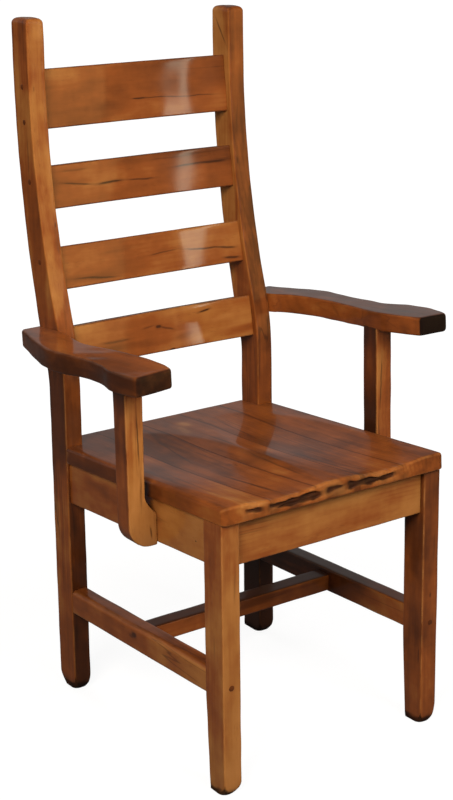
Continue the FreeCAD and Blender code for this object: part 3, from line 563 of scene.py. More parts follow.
# Seeds of a piece's figure and of its uneven surface, its tone, from 0, dark, to 1, pale, and its marks
Wood = namedtuple("Wood", "figure_seed surface_seed tone marks", defaults=((),))
SUPPORT_MARKS = (
    (176, 234, 66, 3, 0.03, 0.8), (90, 231, 48, 2.6, -0.03, 0.5), (22, 215, 15, 2.8, 0.1, 0.75),
)
WOOD = {
    "rear_post_left": Wood(10, 20, 0.52, (
        (1001, -199, 7, 3, 0, 0.35), (786, -183, 7, 2.5, 0.2, 0.7), (640, -190, 40, 4, 0.05, 0.3),
        (890, 245, 60, 5, 0, 0.35, 2), (330, 195, 70, 6, 0, 0.4, 2))),
    "rear_post_right": Wood(12, 22, 0.27, (
        (1070, 257, 34, 4, 0.65, 0.7, 2), (804, 204, 8, 2.5, 0.2, 0.8), (852, 183, 10, 2.5, 0, 0.7),
        (930, 190, 40, 3, 0.08, 0.45), (700, 196, 60, 3, 0.05, 0.4))),
    "front_leg_left": Wood(30, 40, 0.66, (
        (330, -185, 40, 3, 0.05, 0.25), (235, -255, 30, 4, 0, 0.25, 2))),
    "front_leg_right": Wood(32, 42, 0.31, (
        (221, 192, 6, 3, 0, 0.75), (119, -268, 22, 2.2, 0, 0.9, 2), (300, 198, 40, 2.5, 0.04, 0.35))),
    "top_slat": Wood(50, 50, 0.31, (
        (60, 32.8, 80, 2.2, -0.03, 0.75), (8, 34.6, 22, 2.8, -0.04, 0.95),
        (128, 30.5, 46, 2.2, -0.02, 0.65), (-48, 30, 30, 12, 0, 0.2), (-32, 48, 26, 10, 0.1, 0.16),
        (-62, 12, 36, 9, 0.05, 0.16))),
    "upper_slat": Wood(51, 51, 0.31, (
        (-125, 36, 48, 3.2, -0.11, 0.85), (-62, 31.5, 42, 4.6, 0.02, 0.97),
        (0, 30.3, 44, 2.8, -0.04, 0.8), (95, 44.5, 50, 3.4, 0.02, 0.85), (142, 45.3, 44, 4.6, 0, 0.97),
        (-130, 58, 44, 3.5, 0, 0.45), (60, 60, 64, 2.6, 0.02, 0.4))),
    "middle_slat": Wood(52, 52, 0.42, (
        (-112, 11, 68, 3.2, -0.085, 0.9), (25, 35, 46, 2.4, 0.05, 0.65),
        (108, 31, 68, 3, -0.085, 0.8), (156, 9, 25, 4.2, -0.09, 0.97), (150, 27, 26, 3.4, -0.1, 0.8),
        (-60, 50, 60, 6, 0.05, 0.2))),
    "lower_slat": Wood(53, 53, 0.43, (
        (86, 56.5, 20, 3.6, 0.13, 0.97), (-7, 43, 9, 6, 0, 0.92), (10, 38, 22, 3.4, -0.3, 0.65),
        (-26, 45, 20, 3.4, 0.1, 0.45), (-92, 32, 48, 5, -0.03, 0.6), (16, 1, 8, 3, 0, 0.97),
        # The pale mark at 120 along is a painted highlight where the strip lamp's band shows.
        (40, 20, 28, 9, 0.1, 0.22), (120, 40, 40, 9, 0.1, -0.3), (70, 12, 34, 8, 0.05, -0.3))),
    "left_apron": Wood(150, 150, 0.69),
    "right_apron": Wood(152, 152, 0.5),
    "left_stretcher": Wood(160, 160, 0.52, (
        (198, -15, 12, 10, 0, 0.97, 2), (207, -18, 10, 6, 0.2, 0.6, 2))),
    "right_stretcher": Wood(162, 162, 0.5),
    "front_apron": Wood(171, 171, 0.55),
    "rear_apron": Wood(172, 172, 0.5),
    "cross_stretcher": Wood(173, 173, 0.34),
    "left_arm_support": Wood(70, 72, 0.7, SUPPORT_MARKS),
    "right_arm_support": Wood(72, 74, 0.7, SUPPORT_MARKS),
    "left_arm": Wood(96, 98, 0.26, ((150, 262, 90, 2, 0.08, 0.4), (300, 235, 40, 3, -0.1, 0.35))),
    "right_arm": Wood(98, 100, 0.31, ((212, -15, 17, 9, 0.83, 0.3, 2), (120, 268, 90, 2, 0.05, 0.4))),
    "seat_board_1": Wood(130, 140, 0.28, ((150, -165, 120, 4, 0.05, 0.4),)),
    "seat_board_2": Wood(131, 140, 0.25, (
        (95, -94, 118, 4.6, -0.05, 0.92), (304, -85, 108, 3.8, 0.16, 0.75),
        (330, -72, 84, 13, -0.08, 0.6), (392, -66, 54, 9, 0.3, 0.5))),
    "seat_board_3": Wood(132, 140, 0.27, (
        # The pale marks at 395 and 425 along are a painted reflection.
        (300, 0, 72, 3.8, 0.02, 0.7), (140, -14, 152, 3.4, 0.08, 0.7), (425, 12, 24, 18, 0, -0.6),
        (395, -10, 42, 16, 0.2, -0.3))),
    "seat_board_4": Wood(133, 140, 0.23, (
        (330, 63.5, 120, 3.6, 0.084, 0.75), (100, 53.3, 118, 4, 0.01, 0.8),
        (220, 95, 122, 3.2, 0.04, 0.4))),
    "seat_board_5": Wood(134, 140, 0.2, ((180, 150, 122, 4, 0.03, 0.4),)),
    "slat_plugs": Wood(181, 181, 0.12),
    "stretcher_plugs": Wood(182, 182, 0.12),
}


# Posts and legs

UPRIGHT_STEP, FOOT_ROUND, LEG_TOP_ROUND, POST_TOP_ROUND = 4, (1.5, 0.8), (0.5, 0.2), (7, 6)
POST_EDGES, LEG_EDGES = (2.4, 2.4, 3.4, 3.4), (2.4,) * 4
POST_CROWN, POST_CROWN_HEIGHT, LEG_CUT_HEIGHT = 3, 40, 30

# How much painted shade darkens a post below the arm and below the seat, how much painted light makes its
# inner side paler above the arm, and how strongly painted shade darkens its outer side in patches
PostShading = namedtuple("PostShading", "arm seat inner patches")
POST_SHADING = {"left": PostShading(0.3, 0.2, 0, 1), "right": PostShading(0.06, 0.7, 0.32, 0)}
BELOW_ARM, BELOW_SEAT, OUTER_IN_SHADE = (660, 560), (420, 340), 0.6
PATCH_EVEN, PATCH_SHADE, PATCH_HEIGHT, PATCH_REACH = 0.07, 0.2, 830, 60
LOW_PATCH, PATCH_START = (700, 600), (330, 440)
# Painted shade on a leg's top under the seat and on its side towards -X
LEG_TOP_SHADE, LEG_SIDE_SHADE, LEG_SHADE_REACH = 0.16, 0.06, (180, 30)

# Each foot's sides are cut in at the floor by a distance, up to a height: towards -X, +X, the front and the
# rear. Then come the rounds of its four corners at the floor, from the front one towards -X, and the height
# of its dark band.
Foot = namedtuple("Foot", "cuts rounds band")
FEET = {
    "front_leg_left": Foot(((0, 4), (9, 16), (6, 9), (0, 4)), (13, 9, 5, 2.4), 8),
    "front_leg_right": Foot(((0.5, 8), (7, 30), (5, 9), (0.5, 8)), (10, 7, 5, 2.4), 10),
    "rear_post_left": Foot(((3, 20), (5, 24), (7, 10), (13, 23)), (10, 6, 6, 4), 13),
    "rear_post_right": Foot(((0.5, 8), (5, 20), (7, 10), (0.5, 8)), (10, 7, 5, 2.4), 8),
}
FOOT_HEIGHT, FOOT_CUT_POWER, FOOT_SEED = 18, 1.3, 5
BAND_CLIMB, BAND_BURN, BAND_SMOKE, BAND_SMOKE_HEIGHT = 10, 0.8, 0.12, 16


def upright(node, sign, finish, run, width, span_v, edges, steps, shape, shade):
    """A leg or post, flush with the frame's outer face, whose foot is hewn and dark at the floor."""
    places, inset, end_grain = run
    foot = FEET[node]
    cuts = [cut * np.clip(1 - places / height, 0, 1) ** FOOT_CUT_POWER for cut, height in foot.cuts]
    low = ease(places, FOOT_HEIGHT, 0)
    radii = [edge + (wide - edge) * low for edge, wide in zip(edges, foot.rounds)]
    span_u = sorted((sign * (HALF_WIDTH - width), sign * HALF_WIDTH))

    def burn(points, grain, normals):
        """Darkens the foot in an uneven band that climbs at the corners, and climbs on the side towards +X as
        painted shade.
        """
        corner = ease(np.abs(normals[:, :2]).min(-1), 0.1, 0.5)
        climb = BAND_CLIMB * np.maximum(corner, facing(normals, X_AXIS, 0.1, 0.5))
        height = points[:, 2] + wobble(points, FOOT_SEED, 24, 3) - climb - foot.band
        return BAND_BURN * ease(height, 3, -2) + BAND_SMOKE * ease(height, BAND_SMOKE_HEIGHT, 0)

    bar = Bar(straight((0, 0, 0), Z_AXIS, places), X_AXIS, Y_AXIS, span_u, span_v, np.stack(radii, -1),
              places, np.stack(cuts, -1) + inset[:, None], end_grain * (places < places[-1] / 2), steps)
    sweep(node, finish, bar, shape, burn=burn, tint=shade)


def post(side, sign):
    run = along_bar(BACK_HEIGHT, UPRIGHT_STEP, FOOT_ROUND, POST_TOP_ROUND)
    front = FRONT + POST_FRONT + post_lean(run[0], BEND_RADIUS)
    rear = FRONT + FRAME_DEPTH + post_lean(run[0], HEEL_RADIUS)
    middle_x = sign * (HALF_WIDTH - POST_WIDTH / 2)
    middle_y = FRONT + FRAME_DEPTH - POST_DEPTH / 2 + BACK_RAKE
    stain_and_shade = POST_SHADING[side]

    def pillow(points, grain):
        """Domes the top a little."""
        share_x = (points[:, 0] - middle_x) / (POST_WIDTH / 2)
        share_y = (points[:, 1] - middle_y) / (POST_DEPTH / 2)
        near_top = ease(points[:, 2], BACK_HEIGHT - POST_CROWN_HEIGHT, BACK_HEIGHT)
        return points - (POST_CROWN * (share_x ** 2 + share_y ** 2) / 2 * near_top)[:, None] * Z_AXIS

    def shade(points, grain, normals):
        """Paints shade on a post below the arms, and more on its inward faces below the seat, and paints
        light on its inner side above the arms. Its outer side gets painted shade in patches."""
        height = points[:, 2]
        below_arm, below_seat = ease(height, *BELOW_ARM), ease(height, *BELOW_SEAT)
        outer = facing(normals, sign * X_AXIS, 0.3)
        paler = stain_and_shade.inner * facing(normals, -sign * X_AXIS, 0.5) * (1 - below_arm)
        patches = spot(height, PATCH_HEIGHT, PATCH_REACH) + ease(height, *LOW_PATCH)
        patch = stain_and_shade.patches * (PATCH_EVEN + PATCH_SHADE * patches) * ease(height, *PATCH_START)
        darker = stain_and_shade.arm * below_arm * (1 - OUTER_IN_SHADE * outer) + stain_and_shade.seat * below_seat * (1 - outer)
        return paler - outer * patch - darker

    span_v = np.stack([front, rear], -1)
    node = "rear_post_" + side
    upright(node, sign, POST, run, POST_WIDTH, span_v, POST_EDGES, (7, 11), pillow, shade)


def front_leg(side, sign):
    top = under_seat(0)
    run = along_bar(top, UPRIGHT_STEP, FOOT_ROUND, LEG_TOP_ROUND)
    taper = FOOT_TAPER * np.clip(1 - run[0] / FOOT_TAPER_HEIGHT, 0, 1)

    def slope_top(points, grain):
        """Cuts the top to the seat's slope."""
        fall = (points[:, 1] - FRONT) * math.tan(SEAT_TILT)
        return points - (fall * ease(points[:, 2], top - LEG_CUT_HEIGHT, top))[:, None] * Z_AXIS

    def shade(points, grain, normals):
        """Paints shade on the leg under the seat, and a little painted shade on its side towards -X."""
        start, end = LEG_SHADE_REACH
        high = ease(points[:, 2], top - start, top - end)
        return -LEG_TOP_SHADE * high - LEG_SIDE_SHADE * facing(normals, -X_AXIS, 0.5)

    span_v = FRONT + np.stack([0 * taper, LEG_DEPTH - taper], -1)
    node = "front_leg_" + side
    upright(node, sign, LEG, run, LEG_WIDTH, span_v, LEG_EDGES, (8, 11), slope_top, shade)


# Slats

SLAT_EDGE, SLAT_END = 2.4, (0.5, 0.2)


def slat_bottoms():
    names = ("lower_slat", "middle_slat", "upper_slat", "top_slat")
    pitch = (HIGHEST_SLAT - LOWEST_SLAT) / (len(names) - 1)
    return {name: LOWEST_SLAT + step * pitch for step, name in enumerate(names)}


def slat(node, bottom):
    height = TOP_SLAT_HEIGHT if node == "top_slat" else SLAT_HEIGHT
    lean = math.atan2(post_lean(bottom + height, BEND_RADIUS) - post_lean(bottom, BEND_RADIUS), height)
    if node == "top_slat":
        lean += TOP_SLAT_LEAN
    up = np.array([0, math.sin(lean), math.cos(lean)])
    back = np.array([0, math.cos(lean), -math.sin(lean)])
    gap = HALF_WIDTH - POST_WIDTH
    reach = gap + SLAT_HOUSED
    places, inset, end_grain = along_bar(2 * reach, 5, SLAT_END, SLAT_END)
    places = places - reach
    radius = (gap ** 2 + SLAT_BOW ** 2) / (2 * SLAT_BOW)
    bow = SLAT_BOW - radius + np.sqrt(radius ** 2 - places ** 2)
    depth = FRONT + POST_FRONT + SLAT_SETBACK + post_lean(bottom, BEND_RADIUS)
    path = straight((0, depth, bottom), X_AXIS, places) + bow[:, None] * back
    bar = Bar(path, up, back, (0, height), (0, SLAT_THICKNESS), (SLAT_EDGE,) * 4, places, inset,
              0 * end_grain, (16, 5))
    sweep(node, SLAT, bar)


# Rails and stretchers

# REAR_SHADE, CROSS_SHADE and the shades below are painted shade on the rails' tops and towards their rears.
RAIL_STEP, RAIL_END, REAR_SHADE = 6, (0.4, 0.1), (0.15, 0.6)
APRON_EDGE, CROSS_EDGE, CROSS_SHADE = 2, 2.5, 0.6
APRON_EDGES, APRON_SHADES = (1.5, 2.2, 1.5, 1.5), (0, 0.32)
STRETCHER_EDGES = {"left": (3, 3, 8, 3), "right": (3,) * 4}
STRETCHER_SHADES = {"left": (0.15, 0.05), "right": (0.45, 0.4)}


def cross_rail(node, depth, gap, thickness, span, radius, shade=0):
    """A level bar along X between two uprights. shade is how much painted shade darkens its top."""
    places, inset, end_grain = along_bar(2 * gap, RAIL_STEP, RAIL_END, RAIL_END)
    places = places - gap
    path = straight((0, FRONT + depth, 0), X_AXIS, places)
    bar = Bar(path, Z_AXIS, Y_AXIS, span, (0, thickness), (radius,) * 4, places, inset, 0 * end_grain,
              (12, 5))

    def shade_top(points, grain, normals):
        return -shade * facing(normals, Z_AXIS)

    sweep(node, CROSS_RAIL, bar, tint=shade_top)


def side_rail(node, sign, line, height, thickness, inset_x, edges, shades):
    """A sloping bar along Y between a leg and a post. edges start at the inner lower corner. shades are how
    much painted shade darkens its top and its rear."""
    places, inset, end_grain = along_bar(POST_FRONT - LEG_DEPTH, RAIL_STEP, RAIL_END, RAIL_END)
    depth = LEG_DEPTH + places
    path = np.stack([0 * places, FRONT + depth, line(depth)], -1)
    outer = HALF_WIDTH - inset_x
    bar = Bar(path, sign * X_AXIS, Z_AXIS, (outer - thickness, outer), (-height, 0), edges, places, inset,
              0 * end_grain, (5, 8))

    def shade_rear(points, grain, normals):
        rearward = ease(grain[:, 0] / places[-1], *REAR_SHADE)
        return -shades[0] * facing(normals, Z_AXIS) - shades[1] * rearward

    sweep(node, SIDE_RAIL, bar, tint=shade_rear)


# Arm supports

SUPPORT_STEP, SUPPORT_FOOT, SUPPORT_EDGE, SUPPORT_END_GRAIN = 4, (3, 1), 2.6, 0.3
SUPPORT_SPLAY = {"left": -3, "right": 4}
# Painted shade on the supports' sides, at their tops under the arms and near the seat
SIDE_SHADE, INNER_SHADE, INNER_LOW_SHADE, OUTER_SHADE, HIGH_SHADE = 0.47, 0.1, 0.4, 0.25, 0.3
LOW_SHADE, LOW_SHADE_HEIGHT = {"left": 0, "right": 0.25}, 90
OUTER_SHADE_HEIGHTS = (400, 600)


def arm_support(side, sign):
    apron_face = HALF_WIDTH - SIDE_APRON_INSET
    inside = HALF_WIDTH + SUPPORT_GAP
    bottom = under_seat(SUPPORT_FRONT) - APRON_HEIGHT - SUPPORT_BELOW
    middle = SUPPORT_FRONT + SUPPORT_DEPTH / 2 - ARM_FRONT
    top = ARM_TOP - middle * math.tan(ARM_TILT) - ARM_THICKNESS + SUPPORT_LET_IN
    places, inset, end_grain = along_bar(top - bottom, SUPPORT_STEP, SUPPORT_FOOT, RAIL_END)
    cove_top = under_seat(SUPPORT_FRONT) + COVE_ABOVE - bottom
    dip = np.clip((cove_top - places) / COVE_HEIGHT, 0, 1)
    splay = SUPPORT_SPLAY[side] * (1 - places / (top - bottom))
    inner = inside - (inside - apron_face) * dip ** COVE_POWER + np.maximum(splay, 0) * (1 - dip)
    lift = np.clip(1 - places / SUPPORT_ROUND, 0, 1)
    outer = inside + SUPPORT_WIDTH + splay - SUPPORT_ROUND * (1 - np.sqrt(1 - lift ** 2))
    path = straight((0, FRONT + SUPPORT_FRONT, bottom), Z_AXIS, places)
    bar = Bar(path, sign * X_AXIS, Y_AXIS, np.stack([inner, outer], -1), (0, SUPPORT_DEPTH),
              (SUPPORT_EDGE,) * 4, places, inset, SUPPORT_END_GRAIN * end_grain, (8, 7))

    def shade(points, grain, normals):
        """Paints shade on the sides, so that they are darker than the front, more on the inner side near the
        seat and upwards on the outer side, the arm's shadow at the top, and shade on the right support near
        the seat."""
        height = points[:, 2]
        high = ease(height, top - 60, top - 10)
        low = ease(height, SEAT_HEIGHT + LOW_SHADE_HEIGHT, SEAT_HEIGHT)
        inner_side = (SIDE_SHADE + INNER_SHADE + INNER_LOW_SHADE * low) * facing(normals, -sign * X_AXIS, 0.6)
        upwards = OUTER_SHADE * (ease(height, *OUTER_SHADE_HEIGHTS) - 0.5)
        outer_side = (SIDE_SHADE + upwards) * facing(normals, sign * X_AXIS, 0.6)
        return -inner_side - outer_side - LOW_SHADE[side] * low - HIGH_SHADE * high

    sweep(side + "_arm_support", SUPPORT, bar, tint=shade)


# Arms: outlines as (along, out from the frame's side), how far the front's outer and inner corners lead or
# trail, how much painted shade darkens the top, the gloss, how dark the sawn front end is, and the seeds of
# the outer line, the inner line and the edge

Arm = namedtuple("Arm", "outer inner outer_lead inner_lead top_shade gloss end_burn seeds")
ARMS = {
    "left": Arm(
        outer=[(0, 92), (38, 94.5), (60, 94), (91, 84.3), (122, 79.5), (160, 77.2), (225, 82.5), (265, 80.5),
               (300, 73), (360, 54.5), (424, 36)],
        inner=[(0, 20), (42, 12.5), (108, 8.2), (171, 12.5), (250, 19.5), (300, 11), (345, 1), (370, 0.3),
               (424, 0.3)],
        outer_lead=12, inner_lead=-4, top_shade=0, gloss=0.6, end_burn=0.9, seeds=(80, 84, 90)),
    "right": Arm(
        outer=[(0, 86), (12, 91), (44, 97), (84, 98.5), (104, 95), (119, 86), (135, 80), (175, 78), (225, 78),
               (281, 82), (315, 82.5), (338, 77), (354, 71), (398, 56), (424, 48)],
        inner=[(0, 32), (54, 21), (97, 16), (154, 21.5), (213, 27), (285, 26), (335, 13), (362, 0.3),
               (424, 0.3)],
        outer_lead=-2, inner_lead=-5, top_shade=0.22, gloss=0.75, end_burn=1.25, seeds=(82, 86, 92)),
}
ARM_STEP, ARM_NOSE, ARM_TAIL, ARM_INSETS = 4, (9, 1), (3, 0.3), (5, 8, 3, 3)
ARM_HEWN_OFF, ARM_POST_GAP, ARM_POST_START = 0.8, 0.3, 352
ARM_POST_EDGE, ARM_UNDER_EDGE, ARM_INNER_EDGE, ARM_OUTER_EDGE = 0.6, 3, 2.6, 3.6
ARM_EDGE_BURN, ARM_REAR_BURN, ARM_END_GRAIN = 0.5, 0.6, 0.25
ARM_LEAD_REACH, ARM_TAIL_REACH = 70, 60


def arm(side, sign):
    form = ARMS[side]
    outer_seed, inner_seed, edge_seed = form.seeds
    places, inset, end_grain = along_bar(ARM_LENGTH, ARM_STEP, ARM_NOSE, ARM_TAIL)
    outer = smooth_line(form.outer, places) - ARM_HEWN_OFF + waver(places, outer_seed, 60, 0.6)
    beside_post = places > ARM_POST_START
    inner = np.maximum(smooth_line(form.inner, places), ARM_POST_GAP)
    inner = inner + np.where(beside_post, 0, waver(places, inner_seed, 60, 0.4))
    along = np.array([0, math.cos(ARM_TILT), -math.sin(ARM_TILT)])
    up = np.array([0, math.sin(ARM_TILT), math.cos(ARM_TILT)])
    nose = ease(places, 30, 4)
    soft = ARM_OUTER_EDGE + waver(places, edge_seed, 45, 1.4) + 2 * nose
    under = np.where(beside_post, ARM_POST_EDGE, ARM_UNDER_EDGE + 1.5 * nose)
    above = np.where(beside_post, ARM_POST_EDGE, ARM_INNER_EDGE + 2 * nose)
    sag = ARM_SAG * ease(places, 120, 220) * ease(places, ARM_LENGTH, 330)
    bar = Bar(straight((0, FRONT + ARM_FRONT, ARM_TOP), along, places), sign * X_AXIS, up,
              HALF_WIDTH + np.stack([inner, outer], -1), np.stack([-ARM_THICKNESS - sag, 0 * sag], -1),
              np.stack([under, soft, soft, above], -1), places, inset[:, None] * np.array(ARM_INSETS),
              ARM_END_GRAIN * end_grain, (14, 6))

    def lead(points, grain):
        """Slants the front and rear ends."""
        out = grain[:, 1] - HALF_WIDTH
        share = np.clip((out - form.inner[0][1]) / (form.outer[0][1] - form.inner[0][1]), 0, 1)
        front = form.inner_lead + (form.outer_lead - form.inner_lead) * share
        front = front * ease(grain[:, 0], ARM_LEAD_REACH, 0)
        rear = ARM_TAIL_SLANT * np.clip(out / form.outer[-1][1], 0, 1)
        rear = rear * ease(grain[:, 0], ARM_LENGTH - ARM_TAIL_REACH, ARM_LENGTH)
        return points - (front + rear)[:, None] * along

    def burn(points, grain, normals):
        """Darkens the hewn outer edge and the sawn ends."""
        out = grain[:, 1] - HALF_WIDTH - np.interp(grain[:, 0], places, outer)
        front = form.end_burn * ease(grain[:, 0], 5.5, 2)
        rear = ARM_REAR_BURN * ease(grain[:, 0], ARM_LENGTH - 4, ARM_LENGTH - 1)
        return np.maximum(np.maximum(ARM_EDGE_BURN * ease(out, -3, -1), front), rear)

    # Painted shade darkens the top.
    def shade_top(points, grain, normals):
        return -form.top_shade * facing(normals, Z_AXIS)

    sweep(side + "_arm", ARM._replace(gloss=form.gloss), bar, lead, burn=burn, tint=shade_top)


# Seat

SEAT_LENGTH = FRAME_DEPTH + SEAT_OVERHANG
SEAT_ALONG = np.array([0, math.cos(SEAT_TILT), -math.sin(SEAT_TILT)])
SEAT_UP = np.array([0, math.sin(SEAT_TILT), math.cos(SEAT_TILT)])
SEAT_CORNER = np.array([0, FRONT - SEAT_OVERHANG, SEAT_HEIGHT])
SEAT_WIDTH = 2 * (HALF_WIDTH + SEAT_SIDE)
BOARD_WIDTH = SEAT_WIDTH / SEAT_BOARDS
BOARD_STEP, BOARD_GAP, BOARD_JOINT, SEAT_CORNER_ROUND = 2.4, 0.1, (0.12, 0.12), (9, 8)
BOARD_INSETS, SEAT_EDGES, POST_CLEARANCE = (1, 0.1, 0.15, 0.8), (2, 1.2, 1.2, 4), 0.2

# Pockets along the seat's chipped front edge: from and to (X), level below the top, half height and depth
Pocket = namedtuple("Pocket", "start end level half depth")
POCKETS = (
    Pocket(-176, -133, -13.5, 5.5, 2.6), Pocket(-132, -26, -13, 7, 4.2), Pocket(-30, 18, -12.5, 5.5, 2.2),
    Pocket(14, 114, -12.5, 6.5, 4.2),
)
POCKET_END, CHIPPED, CHIP_BACK, CHIP_DOWN = 16, (-180, 140), 2.6, 2.2
LINE_SEED, HEIGHT_SEED, FLOOR_SEED = 123, 124, 128
CHIP_SEED, SMALL_CHIP_SEED, CHIP_SHADE_SEED = 125, 126, 127

# How much painted shade darkens the seat in its pockets and on the chipped edge, how much darker it is at its
# joints, how much painted shade darkens it beside the arm supports and in the rear left corner, and how much
# painted light makes it paler on its sides and towards the front
POCKET_SHADE, CHIP_SHADE, JOINT_SHADE, BESIDE_SHADE, CORNER_SHADE = 0.5, 0.2, 0.3, 0.35, 0.27
SIDE_PALER, FRONT_PALER, BESIDE_DEPTH, BESIDE_REACH = 0.05, 0.08, 250, 85
LIP_RUB, LIP_MATT, SEAT_MATT, FRONT_MATT = 1.7, 0.9, 0.46, 0.49


def dish(x, depth):
    """How deep the seat is hollowed: two dishes that meet in a ridge along the middle."""
    reach = np.where(depth < SCOOP_MIDDLE, SCOOP_FRONT_REACH, SCOOP_REAR_REACH)
    across = (np.abs(x) - SCOOP_WIDTH / 2) / (SCOOP_WIDTH / 2)
    hollow = SCOOP_DEPTH * (1 - across ** 2 - ((depth - SCOOP_MIDDLE) / reach) ** 2)
    return (hollow + np.sqrt(hollow ** 2 + SCOOP_CREASE ** 2)) / 2


def pockets(x, level):
    """How deep the pockets are at a place on the front edge."""
    deepest = 0 * x
    centre = waver(x, LINE_SEED, 40, 1.6)
    swell = 1 + waver(x, HEIGHT_SEED, 22, 0.45)
    rough = wobble(np.stack([x, 0 * x, 3 * level], -1), FLOOR_SEED, 24, 0.6)
    for pocket in POCKETS:
        ends = ease(x, pocket.start, pocket.start + POCKET_END) * ease(x, pocket.end, pocket.end - POCKET_END)
        height = (level - pocket.level - centre) / (pocket.half * swell)
        hollow = pocket.depth * ends * np.clip(1 - height ** 4, 0, 1)
        deepest = np.maximum(deepest, hollow * np.clip(0.75 + rough, 0.2, 1))
    return deepest


def chipped(x):
    """1 along the chipped part of the front edge, and 0 beside it."""
    return ease(x, CHIPPED[0], CHIPPED[0] + 12) * ease(x, CHIPPED[1], CHIPPED[1] - 6)


def carve(points, grain):
    """Hollows the seat, and cuts the pockets and the ragged chips of its front edge."""
    x, depth, level = points[:, 0], grain[:, 1], grain[:, 2]
    moved = points - (dish(x, depth) * ease(level, 4 - SEAT_THICKNESS, -1))[:, None] * SEAT_UP
    ragged = waver(x, CHIP_SEED, 30, 1) + waver(x, SMALL_CHIP_SEED, 11, 0.5)
    chip = chipped(x) * np.clip(ragged, 0, 1) * ease(level, -9, -1)
    cut = pockets(x, level) * ease(depth, 8, 0.5) + CHIP_BACK * chip * ease(depth, 16, 1)
    return moved + cut[:, None] * SEAT_ALONG - (CHIP_DOWN * chip * ease(depth, 18, 2))[:, None] * SEAT_UP


def pocket_painted_shade(points, grain, normals):
    """Paints shade into the bottoms of the pockets."""
    dirt = np.clip(pockets(points[:, 0], grain[:, 2]) / 5 - 0.1, 0, 0.45)
    return dirt * ease(grain[:, 1], 9, 2)


def seat_stain_and_shading(points, grain, normals):
    """Paints shade into the pockets, the hollows of the chipped edge and the rear left corner, and browns the
    joints between the boards. Painted light makes the front and the sides paler, and painted shade darkens
    the sides beside the arm supports."""
    x, depth, level = points[:, 0], grain[:, 1], grain[:, 2]
    patchy = chipped(x) * np.clip(0.5 + wobble(points * (1, 1, 3), CHIP_SHADE_SEED, 26, 1), 0, 1)
    hollow = POCKET_SHADE * np.clip(pockets(x, level) / 1.5, 0, 1) + CHIP_SHADE * patchy * ease(level, -3, -8)
    from_joint = np.abs((x / BOARD_WIDTH) % 1 - 0.5) * BOARD_WIDTH
    joint = ease(from_joint, 2.6, 0.5) * ease(level, -4, -1)
    upright_face = ease(np.abs(normals[:, 2]), 0.7, 0.3)
    beside = upright_face * spot(depth, BESIDE_DEPTH, BESIDE_REACH)
    corner = ease(depth, 280, 430) * ease(-x, 10, 120)
    paler = SIDE_PALER * upright_face + FRONT_PALER * ease(depth, 180, 40)
    darker = JOINT_SHADE * joint + BESIDE_SHADE * beside + CORNER_SHADE * corner
    return paler - hollow * ease(depth, 9, 2) - darker


def lip_rub(points, grain, normals):
    """Wears the lips above and below the pockets pale."""
    x, depth, level = points[:, 0], grain[:, 1], grain[:, 2]
    lip = ease(pockets(x, level), 1.6, 0.3) * ease(level, -26, -22)
    return LIP_RUB * chipped(x) * lip * ease(depth, 8, 3)


def front_matt(points, grain, normals):
    """The lacquer is worn thin towards the front edge."""
    depth = grain[:, 1]
    worn = LIP_MATT * chipped(points[:, 0]) * ease(depth, 22, 8)
    return np.maximum(worn, SEAT_MATT + FRONT_MATT * ease(depth, 210, 60))


def across_grain(grain):
    """The seat's boards are swept across their width, and their grain runs from front to back."""
    return grain[:, (1, 0, 2)]


def seat_board(index):
    starts = SEAT_CORNER_ROUND if index == 0 else BOARD_JOINT
    ends = SEAT_CORNER_ROUND if index == SEAT_BOARDS - 1 else BOARD_JOINT
    places, inset, end_grain = along_bar(BOARD_WIDTH - BOARD_GAP, BOARD_STEP, starts, ends)
    x = index * BOARD_WIDTH - SEAT_WIDTH / 2 + places
    beside_post = np.abs(x) > HALF_WIDTH - POST_WIDTH - POST_CLEARANCE
    notched = POST_FRONT - POST_CLEARANCE + SEAT_OVERHANG
    rear = np.where(beside_post, notched, SEAT_LENGTH) / math.cos(SEAT_TILT)
    bar = Bar(straight(SEAT_CORNER, X_AXIS, x), SEAT_ALONG, SEAT_UP, np.stack([0 * x, rear], -1),
              (-SEAT_THICKNESS, 0), SEAT_EDGES, x, inset[:, None] * np.array(BOARD_INSETS), 0 * end_grain,
              (110, 16))
    sweep("seat_board_%d" % (index + 1), SEAT, bar, carve, across_grain, burn=pocket_painted_shade, rub=lip_rub,
          tint=seat_stain_and_shading, matt=front_matt)


# Plugs over the screws

PLUG_RINGS = ((1, -3), (1, -0.1), (0.94, 0.15), (0.7, 0.25), (0.35, 0.3))
PLUG_STEPS, PLUG_RIM, PLUG_GRAIN_PITCH, PLUG_END_GRAIN = 28, 0.94, 20, 0.3
PLUG_BACK, TOP_SLAT_PLUGS, SLAT_PLUG = 12, (68, 12), 45


def plugs(node, spots):
    """Slightly domed end-grain plugs, each at (centre, outward direction)."""
    points, faces, grain, wear = [], [], [], []
    angles = 2 * math.pi * np.arange(PLUG_STEPS) / PLUG_STEPS
    for number, (centre, way) in enumerate(spots):
        way = np.array(way, float)
        side = np.cross(Z_AXIS, way)
        for share, height in PLUG_RINGS:
            for angle in angles:
                flat = PLUG_RADIUS * share * np.array([math.cos(angle), math.sin(angle)])
                points.append(np.array(centre) + flat[0] * side + flat[1] * Z_AXIS + height * way)
                grain.append((PLUG_GRAIN_PITCH * number + height, *flat))
                wear.append(1 if share == PLUG_RIM else 0)
        first = number * len(PLUG_RINGS) * PLUG_STEPS
        for face in tube_faces(len(PLUG_RINGS), PLUG_STEPS, False):
            faces.append([first + corner for corner in face])
    ends = np.full(len(points), PLUG_END_GRAIN)
    attributes = {"grain": np.array(grain) * MM, "wear": np.array(wear), "endgrain": ends, "burn": 0 * ends}
    new_piece(node, PLUG, np.array(points), faces, attributes)


